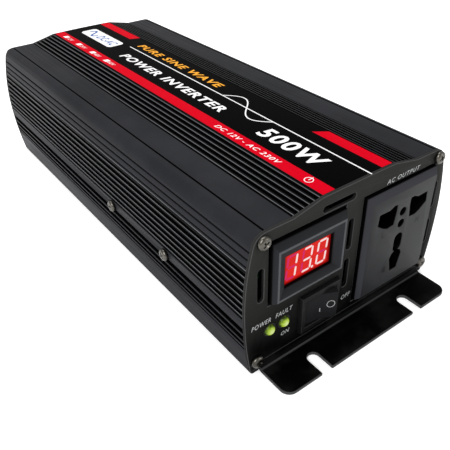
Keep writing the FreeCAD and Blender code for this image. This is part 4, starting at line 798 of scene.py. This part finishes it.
def grip_knob(colour, material):
    """Screw cap with scalloped grip, round shoulder and a dished end."""
    node = "terminal_knob_" + colour
    low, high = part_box(node)
    radius, bore = (high.x - low.x) / 2, 3.06 * MM
    start, end = low.y, high.y
    profile = [
        (0.0, end - 1.4 * MM, 0), (bore, end - 1.4 * MM, 0), (bore, start, 0),
        (radius - 0.3 * MM, start, 0), (radius, start + 0.3 * MM, 0),
        (radius, start + 1.2 * MM, 0), (radius - 0.3 * MM, start + 1.55 * MM, 0),
        (radius - 0.55 * MM, start + 1.75 * MM, 0.1), (radius - 0.5 * MM, start + 2.3 * MM, 0.8),
        (radius - 0.5 * MM, start + 3.2 * MM, 1), (radius - 0.5 * MM, end - 1.6 * MM, 1),
        (radius - 0.62 * MM, end - 0.8 * MM, 1), (radius - 0.95 * MM, end - 0.3 * MM, 0.7),
        (radius - 1.5 * MM, end, 0.3), (radius - 2.1 * MM, end, 0), (radius - 2.4 * MM, end - 0.12 * MM, 0),
        (radius - 2.7 * MM, end - 0.4 * MM, 0), (0.0, end - 0.5 * MM, 0)]
    mesh = turned_mesh(colour + "_grip", profile, (low + high) / 2)
    piece = add_piece(colour + "_grip_knob", mesh, material, BODY_OF[node])
    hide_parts(node)


grip_knob("red", RED_CAP)
grip_knob("black", BLACK_CAP)


def guard_tree(material):
    """Hoops in steps from an inner to an outer radius, and the spokes given as edges, as wires."""
    net, (spokes, rings, inner, outer, wire, centre) = new_tree("wire_guard", [
        ("Spokes", "NodeSocketGeometry"), ("Rings", "NodeSocketInt"), ("Inner", "NodeSocketFloat"),
        ("Outer", "NodeSocketFloat"), ("Wire", "NodeSocketFloat"), ("Centre", "NodeSocketVector")])
    index = net.node("GeometryNodeInputIndex")
    radius = inner + index * (outer - inner) / (rings - 1)
    hoop = net.node("GeometryNodeCurvePrimitiveCircle", {"mode": "RADIUS"},
                    {"Resolution": 72, "Radius": 1.0})
    points = net.node("GeometryNodePoints", inputs={"Count": rings})
    size = net.node("ShaderNodeCombineXYZ", inputs={0: radius, 1: radius, 2: radius})
    hoops = net.node("GeometryNodeInstanceOnPoints",
                     inputs={"Points": points, "Instance": hoop, "Scale": size})
    loose = net.node("GeometryNodeRealizeInstances", inputs={0: hoops})
    upright = net.node("GeometryNodeTransform", inputs={
        "Geometry": loose, "Translation": centre, "Rotation": (pi / 2, 0, 0)})
    paths = net.node("GeometryNodeMeshToCurve", inputs={0: spokes})
    bent = net.node("GeometryNodeFilletCurve", {"mode": "POLY"},
                    {"Curve": paths, "Count": 6, "Radius": 1.6 * MM})
    section = net.node("GeometryNodeCurvePrimitiveCircle", {"mode": "RADIUS"},
                       {"Resolution": 12, "Radius": wire})
    whole = net.node("GeometryNodeJoinGeometry", inputs={0: upright})
    net.tree.links.new(bent.socket, whole.socket.node.inputs[0])
    tube = net.node("GeometryNodeCurveToMesh", inputs={"Curve": whole, "Profile Curve": section,
                                                       "Fill Caps": True})
    return end_tree(net, net.node("GeometryNodeSetShadeSmooth", inputs={0: tube}), material)


def fan_guard():
    """Wire guard over the fan, on four screw eyes."""
    low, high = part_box("fan_guard")
    wire, reach = 0.9 * MM, 20 * MM
    centre = Vector(((low.x + high.x) / 2, high.y - wire, (low.z + high.z) / 2))
    foot, rail = low.y + wire, centre.y - 1.3 * MM
    corners = []
    for side in (-1, 1):
        for share, along in ((-0.86, foot), (-0.78, rail), (0.78, rail), (0.86, foot)):
            corners.append((centre.x + share * reach, along, centre.z + share * reach * side))
    paths = bpy.data.meshes.new("guard_paths")
    paths.from_pydata(corners, [(0, 1), (1, 2), (2, 3), (4, 5), (5, 6), (6, 7)], [])
    mesh = grown(guard_tree(WIRE), paths, {
        "Rings": 4, "Inner": 5 * MM, "Outer": 23 * MM, "Wire": wire, "Centre": centre})
    outer, inner, thick = 4.05 * MM, 1.55 * MM, 1.2 * MM
    profile = [(inner, low.y, 0), (outer, low.y, 0), (outer, low.y + 0.8 * thick, 0),
               (outer - 0.25 * MM, low.y + thick, 0), (inner, low.y + thick, 0), (inner, low.y, 0)]
    whole = bmesh.new()
    whole.from_mesh(mesh)
    for x in (-reach, reach):
        for z in (-reach, reach):
            whole.from_mesh(turned_mesh("eye", profile, centre + Vector((x, 0, z)), 40, 1, 0))
    bmesh.ops.remove_doubles(whole, verts=whole.verts, dist=MERGE)
    bmesh.ops.recalc_face_normals(whole, faces=whole.faces)
    whole.to_mesh(mesh)
    whole.free()
    smooth(mesh, 40)
    piece = add_piece("wire_guard", mesh, WIRE, "chassis")
    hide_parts("fan_guard")


fan_guard()


# ------------------------------------------------------------------ printed marks

def crown(x):
    """Height of the film on the crown."""
    return LABEL_HIGH.z - LABEL_SET - CROWN_FALL * (x / CROWN_HALF) ** 2


def label_film():
    """Thin sheet that follows the crown, closed all round."""
    work = bmesh.new()
    columns = 24
    low, high = LABEL_LOW, LABEL_HIGH
    rows = []
    for k in range(columns + 1):
        x = low.x + (high.x - low.x) * k / columns
        top, foot = crown(x), crown(x) - 0.14 * MM
        rows.append([work.verts.new(corner) for corner in (
            (x, low.y, top), (x, high.y, top), (x, high.y, foot), (x, low.y, foot))])
    for near, far in zip(rows, rows[1:]):
        for k in range(4):
            work.faces.new((near[k], near[(k + 1) % 4], far[(k + 1) % 4], far[k]))
    for end in (rows[0], rows[-1]):
        work.faces.new(end)
    bmesh.ops.recalc_face_normals(work, faces=work.faces)
    mesh = bpy.data.meshes.new("label_film")
    work.to_mesh(mesh)
    work.free()
    smooth(mesh)
    piece = add_piece("printed_film", mesh, FILM, "chassis")
    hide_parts("top_label")


label_film()
INK_THICK = 0.012 * MM


def outline_mesh(outlines):
    """A thin solid from closed outlines in its own XY plane; inner ones are holes."""
    curve = bpy.data.curves.new("outline", "CURVE")
    curve.dimensions, curve.fill_mode = "2D", "BOTH"
    curve.extrude = INK_THICK / 2
    for outline in outlines:
        spline = curve.splines.new("POLY")
        spline.points.add(len(outline) - 1)
        for point, (x, y) in zip(spline.points, outline):
            point.co = (x, y, 0, 1)
        spline.use_cyclic_u = True
    return flattened(curve)


def flattened(curve):
    draft = put("draft_outline", curve)
    mesh = baked(draft)
    bpy.data.objects.remove(draft)
    return mesh


def letter_mesh(text, width, height, weight=0.0, slant=0.0):
    """Letters filling a width and height, from their lower left corner."""
    curve = bpy.data.curves.new("letters", "FONT")
    curve.body, curve.size, curve.offset, curve.shear = text, 1.0, weight, slant
    curve.resolution_u, curve.space_character = 3, 1.16
    curve.extrude = 0.001
    mesh = flattened(curve)
    low = Vector([min(v.co[axis] for v in mesh.vertices) for axis in range(3)])
    high = Vector([max(v.co[axis] for v in mesh.vertices) for axis in range(3)])
    span = high - low
    for vertex in mesh.vertices:
        vertex.co = Vector(((vertex.co.x - low.x) * width / span.x,
                            (vertex.co.y - low.y) * height / span.y,
                            (vertex.co.z - low.z) / span.z * INK_THICK - INK_THICK / 2))
    return mesh


def lay(name, mesh, place, right, up, material, body="chassis"):
    """Lays a flat mesh with its own X along right and its own Y along up."""
    out = right.cross(up)
    turn = Matrix((right, up, out)).transposed()
    for vertex in mesh.vertices:
        vertex.co = place + turn @ vertex.co + out * (INK_THICK / 2)
    work = bmesh.new()
    work.from_mesh(mesh)
    bmesh.ops.remove_doubles(work, verts=work.verts, dist=MERGE / 4)
    bmesh.ops.recalc_face_normals(work, faces=work.faces)
    work.to_mesh(mesh)
    work.free()
    return add_piece(name, mesh, material, body)


def on_label(name, mesh, start, baseline, material):
    """Lays a mark on the film: start is its distance along Y, baseline its distance across."""
    piece = lay(name, mesh, Vector((baseline, start, 0)), AHEAD, RIGHTWARD, material)
    for vertex in piece.data.vertices:
        vertex.co.z += crown(vertex.co.x)
    return piece


def on_front(name, mesh, x, z, material, body="chassis"):
    return lay(name, mesh, Vector((x, FRONT, z)), RIGHTWARD, UPWARD, material, body)


def words_on_label(name, text, start, end, low, high, material, weight=0.022, slant=0.16):
    mesh = letter_mesh(text, (start - end) * MM, (high - low) * MM, weight, slant)
    return on_label(name, mesh, start * MM, low * MM, material)


def words_on_front(name, text, left, right, low, high, slant=0.25, material=None):
    mesh = letter_mesh(text, (right - left) * MM, (high - low) * MM, 0.002, slant)
    return on_front(name, mesh, left * MM, low * MM, material or LEGEND_INK)


def quad(x0, x1, y0, y1, slant=0.0):
    lean = slant * (y1 - y0)
    return [(x0, y0), (x1, y0), (x1 + lean, y1), (x0 + lean, y1)]


def ring(radius, steps=40, centre=(0.0, 0.0), tall=1.0):
    return [(centre[0] + radius * cos(2 * pi * k / steps),
             centre[1] + radius * tall * sin(2 * pi * k / steps)) for k in range(steps)]


def wave_band(length, height, width, steps=48):
    """Outline of one period of a sine wave of even thickness."""
    upper, lower = [], []
    for k in range(steps + 1):
        share = k / steps
        centre = Vector((length * share, height * sin(2 * pi * share)))
        slope = Vector((length, height * 2 * pi * cos(2 * pi * share))).normalized()
        side = Vector((-slope.y, slope.x)) * width / 2
        upper.append(tuple(centre + side))
        lower.append(tuple(centre - side))
    return upper + lower[::-1]


words_on_label("title_power_inverter", "POWER INVERTER", 56.5, -39.8, -6.9, -1.2, WHITE_INK, 0.03)
words_on_label("title_pure_sine_wave", "PURE SINE WAVE", 64.5, -16.2, 9.2, 14.0, ORANGE_INK, 0.026)
words_on_label("title_rating", "500W", -66.0, -103.6, -7.4, 1.2, WHITE_INK, 0.03, 0.12)
on_label("label_rule", outline_mesh([quad(0, 186 * MM, 0, 0.62 * MM)]), 66.3 * MM, 5.4 * MM, WHITE_INK)
on_label("label_wave", outline_mesh([wave_band(38 * MM, 6.2 * MM, 0.62 * MM)]), -25 * MM, 5.7 * MM,
         WHITE_INK)


def label_emblem():
    """A generic sign: a white rounded plate with a wave and the words DC-AC."""
    half, tall = 19.0 * MM, 5.2 * MM
    corner = 2.4 * MM
    outline = []
    for sx, sy, first in ((1, -1, -90), (1, 1, 0), (-1, 1, 90), (-1, -1, 180)):
        for step in range(7):
            angle = radians(first + 15 * step)
            outline.append((sx * (half - corner) + corner * cos(angle),
                            sy * (tall - corner) + corner * sin(angle)))
    on_label("emblem_plate", outline_mesh([outline]), 92 * MM, 0.4 * MM, WHITE_INK)
    plate = on_label("emblem_wave", outline_mesh([wave_band(11 * MM, 3.0 * MM, 1.3 * MM)]),
                     (92 + 16) * MM, 0.4 * MM, BLUE_INK)
    text = words_on_label("emblem_words", "DC-AC", 92 + 3, 92 - 16.5, -2.4, 3.2, BLUE_INK, 0.02, 0.12)
    for piece in (plate, text):
        for vertex in piece.data.vertices:
            vertex.co.z += INK_THICK


label_emblem()
for number, (volts, start) in enumerate(zip(("12V", "24V", "48V", "60V"), (110.0, 92.0, 73.7, 56.4))):
    on_label("tick_box_%d" % number, outline_mesh([quad(0, 3.6 * MM, 0, 2.7 * MM, 0.35)]),
             start * MM, -16.9 * MM, WHITE_INK)
    words_on_label("tick_words_%d" % number, volts, start - 4.8, start - 11.5, -16.8, -14.6, WHITE_INK,
                   0.0, 0.3)
words_on_label("supply_words", "DC 12V - AC 230V", -49.5, -92.0, -16.7, -14.3, WHITE_INK, 0.012, 0.25)
on_label("power_sign_ring", outline_mesh([ring(1.9 * MM), ring(1.55 * MM)]), -108 * MM, -15.4 * MM,
         WHITE_INK)
on_label("power_sign_bar", outline_mesh([quad(-0.2 * MM, 0.2 * MM, -0.2 * MM, 2.4 * MM)]), -108 * MM,
         -15.4 * MM, WHITE_INK)

words_on_front("legend_power", "POWER", -51.9, -42.5, 23.4, 25.7)
words_on_front("legend_fault", "FAULT", -40.1, -31.5, 23.5, 25.7)
words_on_front("legend_on", "ON", -37.0, -32.7, 12.1, 14.1)
words_on_front("legend_off", "OFF", -3.7, 1.7, 12.1, 14.3)
words_on_front("legend_outlet", "AC OUTPUT", 15.4, 35.4, 61.7, 63.7)


def polarity_marks():
    """Plus and minus printed above the terminals."""
    half, thin = 2.0 * MM, 0.4 * MM
    minus = quad(-half, half, -thin, thin)
    plus = [(-half, -thin), (-thin, -thin), (-thin, -half), (thin, -half), (thin, -thin), (half, -thin),
            (half, thin), (thin, thin), (thin, half), (-thin, half), (-thin, thin), (-half, thin)]
    for name, outline in (("red", plus), ("black", minus)):
        knob = middle("terminal_knob_" + name)
        place = Vector((knob.x, REAR, knob.z + 11.4 * MM))
        lay("polarity_mark_" + name, outline_mesh([outline]), place, LEFTWARD, UPWARD, LEGEND_INK)


polarity_marks()


def press_on(piece, node):
    """Drops a mark on the front of a node, along Y."""
    shape = nodes[node].data
    tree = BVHTree.FromPolygons([v.co for v in shape.vertices], [f.vertices for f in shape.polygons])
    for vertex in piece.data.vertices:
        x, y, z = vertex.co
        hit = tree.ray_cast(Vector((x, FRONT - 20 * MM, z)), BEHIND)[0]
        vertex.co.y = hit.y + (y - FRONT) - 0.01 * MM


def switch_and_socket_marks():
    """O and I on the rocker, and the sockets' letters."""
    off = on_front("rocker_off_mark", outline_mesh([ring(1.6 * MM, tall=1.15), ring(1.38 * MM, tall=1.16)]),
                   -13.9 * MM, 18.6 * MM, LEGEND_INK, body="rocker")
    bar = quad(-0.14 * MM, 0.14 * MM, -1.0 * MM, 1.0 * MM)
    on = on_front("rocker_on_mark", outline_mesh([bar]), -18.0 * MM, 16.2 * MM, LEGEND_INK,
                  body="rocker")
    for mark in (off, on):
        press_on(mark, "switch_rocker")
    for letter, x, z in (("L", 14.1, 39.7), ("N", 35.6, 38.5), ("E", 18.2, 19.3)):
        mesh = letter_mesh(letter, 2.1 * MM, 2.9 * MM, 0.05, 0.0)
        press_on(on_front("socket_letter_" + letter, mesh, (x - 1.0) * MM, (z - 1.4) * MM, BLACK_INK), "socket_faceplate")


switch_and_socket_marks()


# ------------------------------------------------------------------ display

def display_digits():
    """Three seven-segment digits that show 13.0, with their unlit bars."""
    low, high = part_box("display_window")
    cell, tall, stroke, lean = 5.3 * MM, 11.2 * MM, 0.95 * MM, 0.1
    pitch, first, base = 7.6 * MM, low.x + 0.95 * MM, low.z + 1.5 * MM
    bars = {
        "a": (0, cell, tall - stroke, tall), "g": (0, cell, (tall - stroke) / 2, (tall + stroke) / 2),
        "d": (0, cell, 0, stroke), "f": (0, stroke, tall / 2, tall),
        "b": (cell - stroke, cell, tall / 2, tall),
        "e": (0, stroke, 0, tall / 2), "c": (cell - stroke, cell, 0, tall / 2)}
    shown = ["bc", "abgcd", "abcdef"]
    sheets = {True: [], False: []}
    for index, lit in enumerate(shown):
        left = first + index * pitch
        for bar, (x0, x1, z0, z1) in bars.items():
            across = x1 - x0 > z1 - z0
            trim_x, trim_z = (stroke * 0.75, 0) if across else (0, stroke * 0.6)
            outline = hexagon(x0 + trim_x, x1 - trim_x, z0 + trim_z, z1 - trim_z, across)
            sheets[bar in lit].append([(left + x + lean * z, base + z) for x, z in outline])
    point = (first + pitch + cell + 0.9 * MM, base + 0.5 * MM)
    sheets[True].append(ring(0.6 * MM, 12, point))
    for lit, name, material in ((True, "lit_segments", LIT), (False, "unlit_segments", UNLIT)):
        mesh = outline_mesh(sheets[lit])
        place = Vector((0, low.y - 0.01 * MM, 0))
        lay(name, mesh, place, RIGHTWARD, UPWARD, material)


def hexagon(x0, x1, z0, z1, across):
    """A bar with pointed ends."""
    if across:
        tip = (z1 - z0) / 2
        return [(x0, z0 + tip), (x0 + tip, z0), (x1 - tip, z0),
                (x1, z0 + tip), (x1 - tip, z1), (x0 + tip, z1)]
    tip = (x1 - x0) / 2
    return [(x0 + tip, z0), (x1, z0 + tip), (x1, z1 - tip), (x0 + tip, z1), (x0, z1 - tip), (x0, z0 + tip)]


display_digits()


# ------------------------------------------------------------------ floor, light and camera

def soft_box(name, place, aim, wide, tall, power):
    data = bpy.data.lights.new(name, "AREA")
    data.shape, data.size, data.size_y, data.energy = "RECTANGLE", wide, tall, power
    lamp_object = put(name, data)
    lamp_object.location = place
    lamp_object.rotation_euler = (Vector(aim) - Vector(place)).to_track_quat("-Z", "Y").to_euler()


def studio():
    floor_mesh = bpy.data.meshes.new("floor")
    reach = 6.0
    floor_mesh.from_pydata([(-reach, -reach, 0), (reach, -reach, 0), (reach, reach, 0), (-reach, reach, 0)],
                           [], [(0, 1, 2, 3)])
    floor = put("floor", floor_mesh)
    look = Finish("floor_paper")
    fibre = look.noise(40, 3.0)
    coat(floor, look.set(Base_Color=look.mix(fibre.ramp(0.3, 0.7), (0.92, 0.92, 0.92), (0.94, 0.94, 0.94)),
                         Roughness=fibre.ramp(0.3, 0.7, 0.8, 0.9), Emission_Color=(1, 1, 1, 1),
                         Emission_Strength=0.3))
    world = bpy.data.worlds.new("studio")
    bpy.context.scene.world = world
    world.use_nodes = True
    sky = world.node_tree.nodes["Background"]
    sky.inputs["Color"].default_value, sky.inputs["Strength"].default_value = (1, 1, 1, 1), 0.62
    middle_point = (cad_low + cad_high) / 2
    soft_box("key_light", (-0.75, -0.35, 0.75), middle_point, 0.7, 0.7, 8)
    soft_box("top_light", (0.1, 0.5, 1.1), middle_point, 0.9, 0.6, 7)
    soft_box("fill_light", (0.7, -1.0, 0.45), middle_point, 0.6, 0.6, 3)


def camera():
    data = bpy.data.cameras.new("view")
    data.sensor_width, data.lens = 36.0, 46.14
    data.shift_x, data.shift_y = -0.0236, -0.0129
    data.clip_start = 0.01
    view = put("view", data)
    view.location = (-0.1458, -0.2376, 0.1808)
    view.rotation_euler = tuple(radians(angle) for angle in (54.862, 0.795, -37.226))
    bpy.context.scene.camera = view


studio()
camera()
bpy.context.scene.view_settings.view_transform = "Standard"
